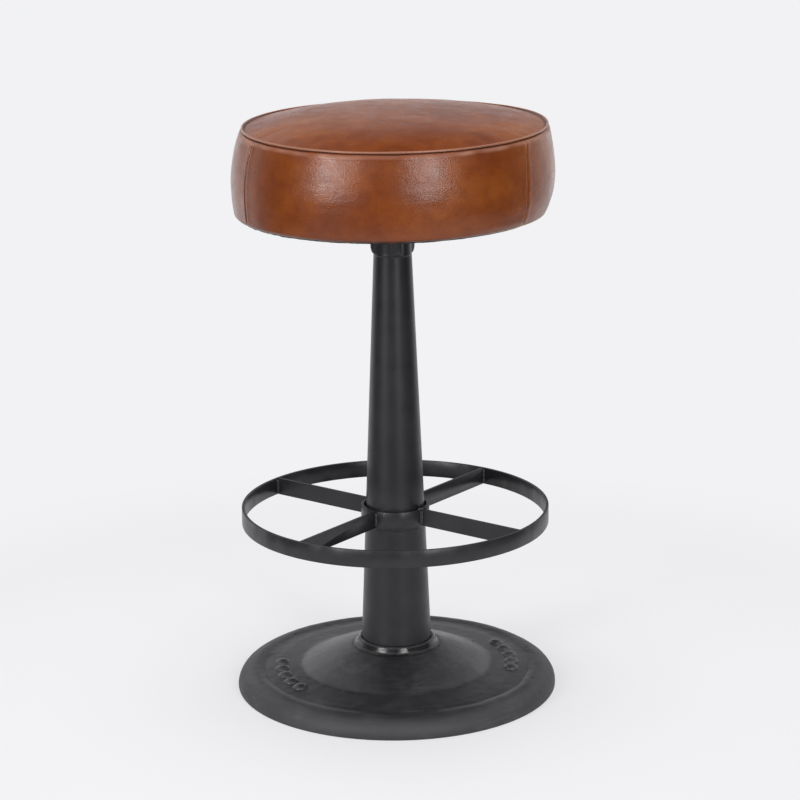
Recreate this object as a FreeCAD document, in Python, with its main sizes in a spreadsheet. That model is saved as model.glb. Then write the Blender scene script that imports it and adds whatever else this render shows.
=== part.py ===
import FreeCAD, Part

import os
import re

import Sketcher

# Counter stool: cast iron base, tapered steel column, ring footrest on four spokes,
# and a round leather cushion on a ball-bearing swivel.
# Millimetres and degrees. +Z is up, the origin is the middle of the base on the floor,
# and angles run from +X towards +Y.

# Driving dimensions
SIZES = {
    # Base casting, outside: the insets run inwards from the widest radius
    "base_radius": 179,
    "base_widest_level": 7.5,
    "rim_foot_inset": 3,
    "rim_shoulder_inset": 6,
    "rim_shoulder_level": 17,
    "rim_crest_inset": 16.5,
    "rim_crest_level": 22.2,
    "rim_width": 27.5,
    "rim_inner_level": 20.8,
    "groove_width": 9,
    "groove_depth": 1,
    "tread_outer_level": 21.5,
    "tread_rise": 2.9,
    "dome_step_width": 2,
    "dome_step_rise": 3,
    "dome_width": 52,
    "dome_swell": 1.35,
    "neck_wall": 8.5,
    "neck_level": 47.5,
    # Base casting, underside
    "rim_land": 16,
    "rim_wall_lean": 3,
    "shell_thickness": 8.5,
    "hub_spread": 3,
    "hub_thickness": 12,
    "hub_hollow_drop": 13.6,
    "socket_depth": 17.5,
    "socket_clearance": 0.5,
    "rib_count": 6,
    "rib_thickness": 7,
    "rib_floor_gap": 6,
    "rib_bite": 4,
    # Column
    "column_foot_radius": 40,
    "column_top_lip": 1.8,
    "column_top_level": 498,
    "column_wall": 3,
    "foot_plate_thickness": 10,
    "foot_bead_spread": 6,
    "foot_bead_height": 9,
    "foot_bead_swell": 0.9,
    # Bolts that hold the column down in the base
    "base_bolt_count": 3,
    "base_bolt_circle": 22,
    "base_bolt_angle": 90,
    "base_bolt_radius": 5,
    "base_bolt_flats": 16,
    "base_bolt_head": 6.4,
    "base_bolt_reach": 8,
    "base_bolt_play": 0.5,
    "base_washer_radius": 10,
    "base_washer_thickness": 2,
    # Footrest
    "footrest_level": 192.4,
    "footrest_radius": 170.8,
    "bar_height": 19.05,
    "bar_thickness": 3.2,
    "collar_gap": 1.5,
    "collar_wall": 3.2,
    "spoke_count": 4,
    "spoke_angle": 52.8,
    "spoke_bead": 2.6,
    "collar_bead_height": 3,
    # Square post between the column and the seat
    "post_width": 38.1,
    "post_length": 29.4,
    "post_wall": 3,
    "post_corner": 3,
    "post_angle": 25,
    "post_bead_height": 2.4,
    # Mounting plate under the swivel
    "mounting_plate_width": 114,
    "mounting_plate_thickness": 5,
    "mounting_plate_corner": 8,
    "mounting_bolt_inset": 12,
    "mounting_bolt_radius": 3,
    "mounting_bolt_play": 0.2,
    "mounting_bolt_flats": 10,
    "mounting_bolt_head": 3,
    "mounting_nut_height": 5,
    "mounting_bolt_end": 2,
    # Ball-bearing swivel
    "swivel_plate_thickness": 3.2,
    "swivel_plate_gap": 4.6,
    "swivel_top_width": 152,
    "swivel_top_corner": 12,
    "ball_radius": 3.175,
    "ball_count": 12,
    "ball_circle": 41,
    "running_gap": 0.3,
    "cage_width": 12,
    "cage_thickness": 1,
    "rivet_radius": 9,
    "rivet_wall": 3,
    "rivet_flange": 4,
    "rivet_head": 1.6,
    "rivet_sink": 2.2,
    # Seat screws and tee nuts
    "seat_screw_inset": 10,
    "seat_screw_radius": 3,
    "seat_screw_play": 0.4,
    "seat_screw_flats": 10,
    "seat_screw_head": 4,
    "seat_screw_reach": 12,
    "tee_barrel_wall": 1,
    "tee_barrel_length": 10,
    "tee_flange_radius": 9,
    "tee_flange": 1.5,
    # Seat board and dust cover
    "board_thickness": 15,
    "board_inset": 0.4,
    "dust_cover_thickness": 0.8,
    "dust_cover_inset": 3.6,
    "dust_cover_slope": 7.1,
    # Cushion
    "seat_radius": 175.7,
    "bulge_rise": 43.4,
    "side_height": 95.6,
    "side_curve": 136,
    "leather_thickness": 1.6,
    "hem_width": 23.5,
    "panel_count": 3,
    "panel_start_angle": 206.5,
    "crown_rise": 11.8,
    "crown_edge_drop": 8.2,
    "roll_width": 12.5,
    "roll_inset": 3.7,
    "roll_drop": 12.6,
    "seam_groove": 0.4,
    "tuck_depth": 5.5,
    # How far a hole's cutter runs past both faces
    "cutter_margin": 1,
}

doc = FreeCAD.newDocument("counter_stool")
sheet = doc.addObject("Spreadsheet::Sheet", "sizes")
for row, (word, number) in enumerate(SIZES.items(), start=1):
    sheet.set(f"A{row}", word)
    sheet.set(f"B{row}", str(number))
    sheet.setAlias(f"B{row}", word)
doc.recompute()

FULL_ANGLE = 360
UP = FreeCAD.Vector(0, 0, 1)
AXIS = ("0", "0")
CORNER_COUNT = "4"
CORNER_ANGLE = "45"


# Formulas, written with the words of the sheet
def bound(formula):
    """The formula with the sheet's name before each of its words."""
    return re.sub(r"[a-z_]+", lambda found: prefixed(found.group()), formula)


def prefixed(word):
    return f"sizes.{word}" if word in SIZES else word


def measure(formula):
    """The number that a formula has now."""
    return float(sheet.evalExpression(formula))


def bind(thing, path, formula):
    thing.setExpression(path, bound(formula))


# Sketches
def pin(sketch, number, end, spot):
    """Holds one end of a sketch curve at a spot that is given by two formulas."""
    # A sketch numbers its own level axis -1 and its upright axis -2
    for letter, axis, formula in zip("XY", (-2, -1), spot):
        value = measure(formula)
        if abs(value) < 1e-9:
            sketch.addConstraint(Sketcher.Constraint("PointOnObject", number, end, axis))
        else:
            distance = Sketcher.Constraint(f"Distance{letter}", -1, 1, number, end, value)
            row = sketch.addConstraint(distance)
            bind(sketch, f"Constraints[{row}]", formula)


def place(spot):
    return FreeCAD.Vector(measure(spot[0]), measure(spot[1]), 0)


def draw(sketch, corners, bends=None):
    """A closed outline. bends gives, for a corner's number, a spot on the arc after it.

    Every arc is added anticlockwise, so one that runs the other way swaps its two ends.
    """
    bends = bends or {}
    count = len(corners)
    curves = []
    for index in range(count):
        start = place(corners[index])
        end = place(corners[(index + 1) % count])
        ends = (1, 2)
        if index in bends:
            middle = place(bends[index])
            if (middle - start).cross(end - middle).z < 0:
                start, end = end, start
                ends = (2, 1)
            curve = Part.Arc(start, middle, end)
        else:
            curve = Part.LineSegment(start, end)
        curves.append((sketch.addGeometry(curve, False), ends))
    for index in range(count):
        number, ends = curves[index]
        follower, follower_ends = curves[(index + 1) % count]
        joined = Sketcher.Constraint("Coincident", number, ends[1], follower, follower_ends[0])
        sketch.addConstraint(joined)
        pin(sketch, number, ends[0], corners[index])
    for index, spot in bends.items():
        number = sketch.addGeometry(Part.Point(place(spot)), True)
        on_arc = Sketcher.Constraint("PointOnObject", number, 1, curves[index][0])
        sketch.addConstraint(on_arc)
        pin(sketch, number, 1, spot)


def draw_circle(sketch, middle, radius):
    circle = Part.Circle(place(middle), UP, measure(radius))
    number = sketch.addGeometry(circle, False)
    pin(sketch, number, 3, middle)
    row = sketch.addConstraint(Sketcher.Constraint("Radius", number, measure(radius)))
    bind(sketch, f"Constraints[{row}]", radius)


def new_sketch(body, role, level="0"):
    """A sketch on one of the body's own planes, raised to a level when the plane is level."""
    sketch = body.newObject("Sketcher::SketchObject", "outline")
    plane = [piece for piece in body.Origin.OriginFeatures if piece.Role == role][0]
    sketch.AttachmentSupport = [(plane, "")]
    sketch.MapMode = "FlatFace"
    if level != "0":
        bind(sketch, "AttachmentOffset.Base.z", level)
    return sketch


# Bodies and their features
def new_body(label):
    body = doc.addObject("PartDesign::Body", label)
    body.Label = label
    return body


def turn_profile(body, corners, bends=None, angle=None):
    """Turns a profile of radius and level about the column's axis."""
    sketch = new_sketch(body, "XZ_Plane")
    draw(sketch, corners, bends)
    turned = body.newObject("PartDesign::Revolution", "turned")
    turned.Profile = sketch
    turned.ReferenceAxis = (sketch, ["V_Axis"])
    turned.Angle = FULL_ANGLE
    if angle:
        bind(turned, "Angle", angle)
    return turned


def pad(body, sketch, height):
    padded = body.newObject("PartDesign::Pad", "padded")
    padded.Profile = sketch
    bind(padded, "Length", height)
    return padded


def upright_plate(body, corners, thickness):
    """A plate that stands on the XZ plane, with half its thickness on each side."""
    sketch = new_sketch(body, "XZ_Plane")
    draw(sketch, corners)
    padded = pad(body, sketch, thickness)
    padded.SideType = "Symmetric"
    return padded


def drill(body, middles, radius, level, depth):
    """Round holes that run up from a level."""
    sketch = new_sketch(body, "XY_Plane", level)
    for middle in middles:
        draw_circle(sketch, middle, radius)
    holes = body.newObject("PartDesign::Pocket", "holes")
    holes.Profile = sketch
    holes.Reversed = True
    bind(holes, "Length", depth)
    return holes


def drill_through(body, middles, radius, level, thickness):
    """Round holes right through a layer that lies on a level."""
    depth = f"({thickness}) + 2 * cutter_margin"
    return drill(body, middles, radius, f"{level} - cutter_margin", depth)


def repeat_round(body, features, count):
    """Repeats features of a body evenly about the column's axis."""
    axis = [piece for piece in body.Origin.OriginFeatures if piece.Role == "Z_Axis"][0]
    pattern = body.newObject("PartDesign::PolarPattern", "pattern")
    pattern.Originals = features
    pattern.Axis = (axis, [""])
    pattern.Angle = FULL_ANGLE
    bind(pattern, "Occurrences", count)
    body.Tip = pattern
    return pattern


def turn_about_column(thing, angle):
    thing.Placement = FreeCAD.Placement(FreeCAD.Vector(0, 0, 0), FreeCAD.Rotation(UP, 1))
    bind(thing, "Placement.Rotation.Angle", angle)


# Loose solids for fasteners
def stand(thing, middle, level):
    bind(thing, "Placement.Base.x", middle[0])
    bind(thing, "Placement.Base.y", middle[1])
    bind(thing, "Placement.Base.z", level)
    return thing


def rod(middle, radius, level, height):
    cylinder = doc.addObject("Part::Cylinder", "rod")
    bind(cylinder, "Radius", radius)
    bind(cylinder, "Height", height)
    return stand(cylinder, middle, level)


def hexagon(middle, flats, level, height):
    prism = doc.addObject("Part::Prism", "hexagon")
    prism.Polygon = 6
    bind(prism, "Circumradius", f"({flats}) / sqrt(3)")
    bind(prism, "Height", height)
    return stand(prism, middle, level)


def without(solid, tool):
    cut = doc.addObject("Part::Cut", "cut")
    cut.Base = solid
    cut.Tool = tool
    return cut


def joined(solids):
    fused = doc.addObject("Part::MultiFuse", "joined")
    fused.Shapes = solids
    fused.Refine = True
    return fused


def group(label, solids):
    """Alike pieces that share a node and stay separate solids."""
    together = doc.addObject("Part::Compound", label)
    together.Label = label
    together.Links = solids
    return together


# Radii and levels that several pieces share, from the floor up
foot_radius = "(base_radius - rim_foot_inset)"
rim_inner_radius = "(base_radius - rim_width)"
tread_outer_radius = f"({rim_inner_radius} - groove_width)"
socket_level = "(neck_level - socket_depth)"
hub_floor_level = f"({socket_level} - hub_thickness)"
socket_radius = "(column_foot_radius + socket_clearance)"
neck_radius = f"({socket_radius} + neck_wall)"
hub_radius = f"({neck_radius} + hub_spread)"
dome_radius = f"({neck_radius} + dome_width)"
tread_inner_radius = f"({dome_radius} + dome_step_width)"
tread_inner_level = "(tread_outer_level + tread_rise)"
dome_foot_level = f"({tread_inner_level} + dome_step_rise)"
dome_middle_radius = f"(({dome_radius} + {neck_radius}) / 2)"
dome_middle_level = f"(({dome_foot_level} + neck_level) / 2 + dome_swell)"
column_top_radius = "(post_width / 2 + column_top_lip)"


def column_radius(level):
    """Outer radius of the tapered column at a level."""
    rise = f"(({level}) - {socket_level}) / (column_top_level - {socket_level})"
    return f"(column_foot_radius - (column_foot_radius - {column_top_radius}) * {rise})"


ring_inner = "(footrest_radius - bar_thickness)"
collar_inner = f"({column_radius('footrest_level')} + collar_gap)"
collar_radius = f"({collar_inner} + collar_wall)"
footrest_top = "(footrest_level + bar_height)"
mounting_plate_level = "(column_top_level + post_length)"
lower_plate_level = f"({mounting_plate_level} + mounting_plate_thickness)"
lower_plate_top = f"({lower_plate_level} + swivel_plate_thickness)"
ball_level = f"({lower_plate_top} + swivel_plate_gap / 2)"
upper_plate_level = f"({lower_plate_top} + swivel_plate_gap)"
swivel_top = f"({upper_plate_level} + swivel_plate_thickness)"
rivet_head_radius = "(rivet_radius + rivet_flange)"
mounting_bolt_place = "(mounting_plate_width / 2 - mounting_bolt_inset)"
seat_screw_place = "(swivel_top_width / 2 - seat_screw_inset)"
board_level = f"({swivel_top} + dust_cover_thickness)"
board_top = f"({board_level} + board_thickness)"
seat_underside = f"({board_level} - leather_thickness)"
bulge_level = f"({seat_underside} + bulge_rise)"
seam_level = f"({seat_underside} + side_height)"
tuck_level = f"({seam_level} - tuck_depth)"
crown_level = f"({seam_level} + crown_rise)"


def side_radius(level, inset="0"):
    """Radius of the cushion's bulging side at a level, inside the leather by inset."""
    drop = f"sqrt(side_curve ^ 2 - (({level}) - {bulge_level}) ^ 2)"
    return f"(seat_radius - side_curve + {drop} - ({inset}))"


board_radius = f"({side_radius(seat_underside, 'leather_thickness')} - board_inset)"
hem_end = f"({side_radius(seat_underside)} - hem_width)"


def around(circle, count, start="0"):
    """Middles spread evenly on a circle."""
    steps = range(round(measure(count)))
    angles = [f"(({start}) + 360 / ({count}) * {step})" for step in steps]
    return [(f"({circle}) * cos({angle})", f"({circle}) * sin({angle})") for angle in angles]


# A square's corners lie at this angle from the axes that it is drawn on
square_angle = f"(post_angle - {CORNER_ANGLE})"


def at_corners(reach):
    """Four middles on the corners of a square that is turned with the post."""
    return around(f"({reach}) * sqrt(2)", CORNER_COUNT, "post_angle")


# Base casting: a hollow dish with a rolled rim, a stepped dome, a hub and radial ribs
def base_casting():
    body = new_body("base_casting")
    rim_wall_radius = f"({foot_radius} - rim_land)"
    corners = [
        (rim_wall_radius, "0"),
        (foot_radius, "0"),
        ("base_radius - rim_shoulder_inset", "rim_shoulder_level"),
        (rim_inner_radius, "rim_inner_level"),
        (f"{rim_inner_radius} - groove_width / 2", "rim_inner_level - groove_depth"),
        (tread_outer_radius, "tread_outer_level"),
        (tread_inner_radius, tread_inner_level),
        (dome_radius, dome_foot_level),
        (neck_radius, "neck_level"),
        (socket_radius, "neck_level"),
        (socket_radius, socket_level),
        ("0", socket_level),
        ("0", hub_floor_level),
        (hub_radius, hub_floor_level),
        (f"{hub_radius} + rim_wall_lean", "neck_level - hub_hollow_drop"),
        (dome_middle_radius, f"{dome_middle_level} - shell_thickness"),
        (f"{dome_radius} - shell_thickness / 2", f"{dome_foot_level} - shell_thickness"),
        (tread_inner_radius, f"{tread_inner_level} - shell_thickness"),
        (f"{rim_wall_radius} - rim_wall_lean", "tread_outer_level - shell_thickness"),
    ]
    bends = {
        1: ("base_radius", "base_widest_level"),
        2: ("base_radius - rim_crest_inset", "rim_crest_level"),
        7: (dome_middle_radius, dome_middle_level),
    }
    turn_profile(body, corners, bends)
    return add_ribs_and_holes(body)


def add_ribs_and_holes(body):
    rib_root = f"{hub_radius} - rib_bite"
    rib_end = f"({foot_radius} - rim_land - rim_wall_lean / 2)"
    rib_corners = [
        (rib_root, hub_floor_level),
        (rib_end, "rib_floor_gap"),
        (f"{rib_end} + rib_bite", "rib_floor_gap + rib_bite"),
        (tread_outer_radius, "tread_outer_level - rib_bite"),
        (tread_inner_radius, f"{tread_inner_level} - rib_bite"),
        (dome_middle_radius, f"{dome_middle_level} - rib_bite"),
        (rib_root, "neck_level - rib_bite"),
    ]
    rib = upright_plate(body, rib_corners, "rib_thickness")
    repeat_round(body, [rib], "rib_count")
    holes = around("base_bolt_circle", "base_bolt_count", "base_bolt_angle")
    radius = "base_bolt_radius + base_bolt_play"
    drill_through(body, holes, radius, hub_floor_level, "hub_thickness")
    return body


# Column: tapered steel tube with a tapped plate welded in its foot
def column():
    body = new_body("column")
    corners = [
        ("column_foot_radius", socket_level),
        (column_top_radius, "column_top_level"),
        (f"{column_top_radius} - column_wall", "column_top_level"),
        ("column_foot_radius - column_wall", socket_level),
    ]
    turn_profile(body, corners)
    return body


def column_foot_plate():
    body = new_body("column_foot_plate")
    level = f"({socket_level} + foot_plate_thickness)"
    corners = [
        ("0", socket_level),
        ("column_foot_radius - column_wall", socket_level),
        (f"{column_radius(level)} - column_wall", level),
        ("0", level),
    ]
    turn_profile(body, corners)
    holes = around("base_bolt_circle", "base_bolt_count", "base_bolt_angle")
    drill_through(body, holes, "base_bolt_radius", socket_level, "foot_plate_thickness")
    return body


def foot_weld_bead():
    """Rounded bead that closes the joint between the neck and the column."""
    body = new_body("foot_weld_bead")
    top = "(neck_level + foot_bead_height)"
    outer = f"({column_radius('neck_level')} + foot_bead_spread)"
    corners = [
        (column_radius("neck_level"), "neck_level"),
        (outer, "neck_level"),
        (column_radius(top), top),
    ]
    swell = (
        f"{outer} - foot_bead_spread / 2 + foot_bead_swell",
        "neck_level + foot_bead_height / 2 + foot_bead_swell",
    )
    turn_profile(body, corners, {1: swell})
    return body


def base_washers():
    washers = []
    level = f"{hub_floor_level} - base_washer_thickness"
    for middle in around("base_bolt_circle", "base_bolt_count", "base_bolt_angle"):
        disc = rod(middle, "base_washer_radius", level, "base_washer_thickness")
        hole = rod(middle, "base_bolt_radius + base_bolt_play", level, "base_washer_thickness")
        washers.append(without(disc, hole))
    return group("base_washers", washers)


def base_bolts():
    bolts = []
    top = f"({hub_floor_level} - base_washer_thickness)"
    length = f"{socket_level} + base_bolt_reach - {top}"
    for middle in around("base_bolt_circle", "base_bolt_count", "base_bolt_angle"):
        head = hexagon(middle, "base_bolt_flats", f"{top} - base_bolt_head", "base_bolt_head")
        shank = rod(middle, "base_bolt_radius", top, length)
        bolts.append(joined([head, shank]))
    return group("base_bolts", bolts)


# Footrest: a hoop of flat bar on edge, four spokes, and a collar round the column
def hoop(label, outer, inner):
    body = new_body(label)
    corners = [
        (inner, "footrest_level"),
        (outer, "footrest_level"),
        (outer, footrest_top),
        (inner, footrest_top),
    ]
    turn_profile(body, corners)
    return body


def footrest_spokes():
    names = ("back_right", "back_left", "front_left", "front_right")
    spokes = []
    for step, name in enumerate(names):
        body = new_body(f"footrest_spoke_{name}")
        corners = [
            (collar_radius, "footrest_level"),
            (ring_inner, "footrest_level"),
            (ring_inner, footrest_top),
            (collar_radius, footrest_top),
        ]
        upright_plate(body, corners, "bar_thickness")
        turn_about_column(body, f"spoke_angle + 360 / spoke_count * {step}")
        spokes.append(body)
    return spokes


def footrest_weld_beads():
    """Upright fillet beads on both sides of each spoke, at the collar and at the hoop."""
    body = new_body("footrest_weld_beads")
    sketch = new_sketch(body, "XY_Plane", "footrest_level + spoke_bead / 2")
    toe = "(bar_thickness / 2 + spoke_bead)"
    hoop_toe = f"sqrt({ring_inner} ^ 2 - {toe} ^ 2)"
    for side in ("1", "-1"):
        near = f"({side}) * bar_thickness / 2"
        far = f"({side}) * {toe}"
        root = [(collar_radius, near), (f"{collar_radius} + spoke_bead", near), (collar_radius, far)]
        draw(sketch, root)
        end = [(hoop_toe, near), (f"{hoop_toe} - spoke_bead", near), (hoop_toe, far)]
        draw(sketch, end)
    beads = pad(body, sketch, "bar_height - spoke_bead")
    repeat_round(body, [beads], "spoke_count")
    turn_about_column(body, "spoke_angle")
    return body


def collar_weld_bead():
    """Bead under the collar, filled in between it and the column."""
    body = new_body("collar_weld_bead")
    foot = "(footrest_level - collar_bead_height)"
    corners = [
        (column_radius(foot), foot),
        (f"{collar_inner} + collar_wall / 2", "footrest_level"),
        (column_radius("footrest_level"), "footrest_level"),
    ]
    turn_profile(body, corners)
    return body


# Square post: its corners overhang the round column and slant down to it
def rounded_square(width, corner):
    """Corners and bends of a square with round corners, drawn about the column's axis."""
    half = f"(({width}) / 2)"
    flat = f"(({width}) / 2 - ({corner}))"
    bulge = f"({flat} + ({corner}) * sqrt(0.5))"
    corners = [
        (flat, f"-{half}"), (half, f"-{flat}"),
        (half, flat), (flat, half),
        (f"-{flat}", half), (f"-{half}", flat),
        (f"-{half}", f"-{flat}"), (f"-{flat}", f"-{half}"),
    ]
    bends = {
        0: (bulge, f"-{bulge}"),
        2: (bulge, bulge),
        4: (f"-{bulge}", bulge),
        6: (f"-{bulge}", f"-{bulge}"),
    }
    return corners, bends


def seat_post():
    body = new_body("seat_post")
    sketch = new_sketch(body, "XY_Plane", "column_top_level")
    draw(sketch, *rounded_square("post_width", "post_corner"))
    inner_corner = "post_corner - post_wall / 2"
    draw(sketch, *rounded_square("post_width - 2 * post_wall", inner_corner))
    pad(body, sketch, "post_length")
    slant = new_sketch(body, "XZ_Plane")
    reach = "(post_width / sqrt(2))"
    draw(slant, [
        (column_top_radius, "column_top_level"),
        (reach, "column_top_level"),
        (reach, f"column_top_level + {reach} - {column_top_radius}"),
    ])
    groove = body.newObject("PartDesign::Groove", "ear_slant")
    groove.Profile = slant
    groove.ReferenceAxis = (slant, ["V_Axis"])
    groove.Angle = FULL_ANGLE
    turn_about_column(body, square_angle)
    return body


def post_weld_bead():
    """Weld on the column's rim along the four flats of the post."""
    body = new_body("post_weld_bead")
    corners = [
        (f"{column_top_radius} - column_wall", "column_top_level"),
        (column_top_radius, "column_top_level"),
        (f"{column_top_radius} - column_wall", "column_top_level + post_bead_height"),
    ]
    turn_profile(body, corners)
    sketch = new_sketch(body, "XY_Plane", "column_top_level")
    draw(sketch, *rounded_square("post_width", "post_corner"))
    room = body.newObject("PartDesign::Pocket", "room_for_post")
    room.Profile = sketch
    room.Reversed = True
    bind(room, "Length", "post_bead_height + cutter_margin")
    turn_about_column(body, square_angle)
    return body


# Plates: level squares with round corners, turned with the post
def level_plate(label, width, corner, level, thickness):
    body = new_body(label)
    sketch = new_sketch(body, "XY_Plane", level)
    draw(sketch, *rounded_square(width, corner))
    pad(body, sketch, thickness)
    return body


def plate_holes(place_on_side):
    """Hole middles on a plate, in the plate's own directions."""
    return around(f"({place_on_side}) * sqrt(2)", CORNER_COUNT, CORNER_ANGLE)


def mounting_plate():
    width, corner = "mounting_plate_width", "mounting_plate_corner"
    thickness = "mounting_plate_thickness"
    body = level_plate("mounting_plate", width, corner, mounting_plate_level, thickness)
    radius = "mounting_bolt_radius + mounting_bolt_play"
    level = mounting_plate_level
    drill_through(body, plate_holes(mounting_bolt_place), radius, level, thickness)
    drill_through(body, [AXIS], f"{rivet_head_radius} + running_gap", level, thickness)
    turn_about_column(body, square_angle)
    return body


def mounting_bolts():
    bolts = []
    foot = f"({mounting_plate_level} - mounting_nut_height - mounting_bolt_end)"
    for middle in at_corners(mounting_bolt_place):
        head = rod(middle, "mounting_bolt_flats / 2", lower_plate_top, "mounting_bolt_head")
        shank = rod(middle, "mounting_bolt_radius", foot, f"{lower_plate_top} - {foot}")
        bolts.append(joined([head, shank]))
    return group("mounting_bolts", bolts)


def mounting_nuts():
    nuts = []
    level = f"{mounting_plate_level} - mounting_nut_height"
    for middle in at_corners(mounting_bolt_place):
        block = hexagon(middle, "mounting_bolt_flats", level, "mounting_nut_height")
        thread = rod(middle, "mounting_bolt_radius", level, "mounting_nut_height")
        nuts.append(without(block, thread))
    return group("mounting_nuts", nuts)


# Swivel: two plates with a ball race between them, held together by a hollow rivet
def cut_race(body, side):
    """Round-bottomed ball race on the top (side 1) or underside (side -1) of a plate."""
    sketch = new_sketch(body, "XZ_Plane")
    radius = "(ball_radius + running_gap)"
    mouth = "(swivel_plate_gap / 4)"
    near = f"({ball_level} - ({side}) * {mouth})"
    half = f"sqrt({radius} ^ 2 - {mouth} ^ 2)"
    corners = [(f"ball_circle - {half}", near), (f"ball_circle + {half}", near)]
    draw(sketch, corners, {0: ("ball_circle", f"{ball_level} - ({side}) * {radius}")})
    race = body.newObject("PartDesign::Groove", "race")
    race.Profile = sketch
    race.ReferenceAxis = (sketch, ["V_Axis"])
    race.Angle = FULL_ANGLE
    return race


def swivel_lower_plate():
    width, corner = "mounting_plate_width", "mounting_plate_corner"
    thickness = "swivel_plate_thickness"
    body = level_plate("swivel_lower_plate", width, corner, lower_plate_level, thickness)
    radius = "mounting_bolt_radius + mounting_bolt_play"
    level = lower_plate_level
    drill_through(body, plate_holes(mounting_bolt_place), radius, level, thickness)
    drill_through(body, [AXIS], "rivet_radius", level, thickness)
    cut_race(body, "1")
    turn_about_column(body, square_angle)
    return body


def swivel_upper_plate():
    width, corner = "swivel_top_width", "swivel_top_corner"
    thickness = "swivel_plate_thickness"
    body = level_plate("swivel_upper_plate", width, corner, upper_plate_level, thickness)
    radius = "seat_screw_radius + seat_screw_play"
    level = upper_plate_level
    drill_through(body, plate_holes(seat_screw_place), radius, level, thickness)
    drill_through(body, [AXIS], "rivet_radius + running_gap", level, thickness)
    sink_radius = f"{rivet_head_radius} + running_gap"
    sink_level = f"{swivel_top} - rivet_sink"
    drill(body, [AXIS], sink_radius, sink_level, "rivet_sink + cutter_margin")
    cut_race(body, "-1")
    turn_about_column(body, square_angle)
    return body


def swivel_pivot_rivet():
    """Hollow rivet: its wide upper head holds the upper plate down with a running gap."""
    body = new_body("swivel_pivot_rivet")
    bore = "rivet_radius - rivet_wall"
    foot_level = f"({lower_plate_level} - rivet_head)"
    head_level = f"({swivel_top} - rivet_sink + running_gap)"
    corners = [
        (bore, foot_level),
        (rivet_head_radius, foot_level),
        (rivet_head_radius, lower_plate_level),
        ("rivet_radius", lower_plate_level),
        ("rivet_radius", head_level),
        (rivet_head_radius, head_level),
        (rivet_head_radius, f"{head_level} + rivet_head"),
        (bore, f"{head_level} + rivet_head"),
    ]
    turn_profile(body, corners)
    return body


def swivel_ball_cage():
    """Flat ring that keeps the balls spaced, with a round window for each ball."""
    body = new_body("swivel_ball_cage")
    low = f"({ball_level} - cage_thickness / 2)"
    high = f"({ball_level} + cage_thickness / 2)"
    inner, outer = "ball_circle - cage_width / 2", "ball_circle + cage_width / 2"
    turn_profile(body, [(inner, low), (outer, low), (outer, high), (inner, high)])
    windows = around("ball_circle", "ball_count")
    radius = "ball_radius + running_gap"
    drill_through(body, windows, radius, low, "cage_thickness")
    return body


def swivel_balls():
    balls = []
    for middle in around("ball_circle", "ball_count"):
        ball = doc.addObject("Part::Sphere", "ball")
        bind(ball, "Radius", "ball_radius")
        balls.append(stand(ball, middle, ball_level))
    return group("swivel_balls", balls)


# Seat screws and the tee nuts that they pull on
def seat_screws():
    screws = []
    for middle in at_corners(seat_screw_place):
        level = f"{upper_plate_level} - seat_screw_head"
        head = hexagon(middle, "seat_screw_flats", level, "seat_screw_head")
        length = f"{board_level} + seat_screw_reach - {upper_plate_level}"
        shank = rod(middle, "seat_screw_radius", upper_plate_level, length)
        screws.append(joined([head, shank]))
    return group("seat_screws", screws)


def seat_tee_nuts():
    nuts = []
    foot = f"({board_top} - tee_flange - tee_barrel_length)"
    for middle in at_corners(seat_screw_place):
        flange = rod(middle, "tee_flange_radius", f"{board_top} - tee_flange", "tee_flange")
        barrel = rod(middle, "seat_screw_radius + tee_barrel_wall", foot, "tee_barrel_length")
        bore = rod(middle, "seat_screw_radius", foot, "tee_barrel_length + tee_flange")
        nuts.append(without(joined([flange, barrel]), bore))
    return group("seat_tee_nuts", nuts)


# Seat board and dust cover
def seat_board():
    body = new_body("seat_board")
    corners = [
        ("0", board_level),
        (board_radius, board_level),
        (board_radius, board_top),
        ("0", board_top),
    ]
    turn_profile(body, corners)
    holes = plate_holes(seat_screw_place)
    barrel_radius = "seat_screw_radius + tee_barrel_wall"
    drill_through(body, holes, barrel_radius, board_level, "board_thickness")
    flange_level = f"{board_top} - tee_flange"
    drill(body, holes, "tee_flange_radius", flange_level, "tee_flange + cutter_margin")
    turn_about_column(body, square_angle)
    return body


def dust_cover():
    """Cloth under the seat: it lies over the leather's hem and steps up to the board."""
    body = new_body("dust_cover")
    low = f"({seat_underside} - dust_cover_thickness)"
    edge = f"({side_radius(seat_underside)} - dust_cover_inset)"
    flat = f"({hem_end} - dust_cover_slope)"
    corners = [
        ("0", swivel_top),
        (flat, swivel_top),
        (hem_end, low),
        (edge, low),
        (edge, seat_underside),
        (hem_end, seat_underside),
        (flat, board_level),
        ("0", board_level),
    ]
    turn_profile(body, corners)
    holes = plate_holes(seat_screw_place)
    radius = "seat_screw_radius + seat_screw_play"
    drill_through(body, holes, radius, swivel_top, "dust_cover_thickness")
    turn_about_column(body, square_angle)
    return body


# Cushion: foam on the board, a crowned top panel and three bulging side panels
def leather_side_panels():
    inside = "leather_thickness"
    panels = []
    for step in range(round(measure("panel_count"))):
        body = new_body(f"leather_side_panel_{step + 1}")
        corners = [
            (hem_end, seat_underside),
            (side_radius(seat_underside), seat_underside),
            (side_radius(seam_level), seam_level),
            (side_radius(seam_level, inside), seam_level),
            (side_radius(board_level, inside), board_level),
            (hem_end, board_level),
        ]
        bends = {
            1: ("seat_radius", bulge_level),
            3: (f"seat_radius - {inside}", bulge_level),
        }
        turn_profile(body, corners, bends, "360 / panel_count")
        turn_about_column(body, f"panel_start_angle + 360 / panel_count * {step}")
        panels.append(body)
    return panels


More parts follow.
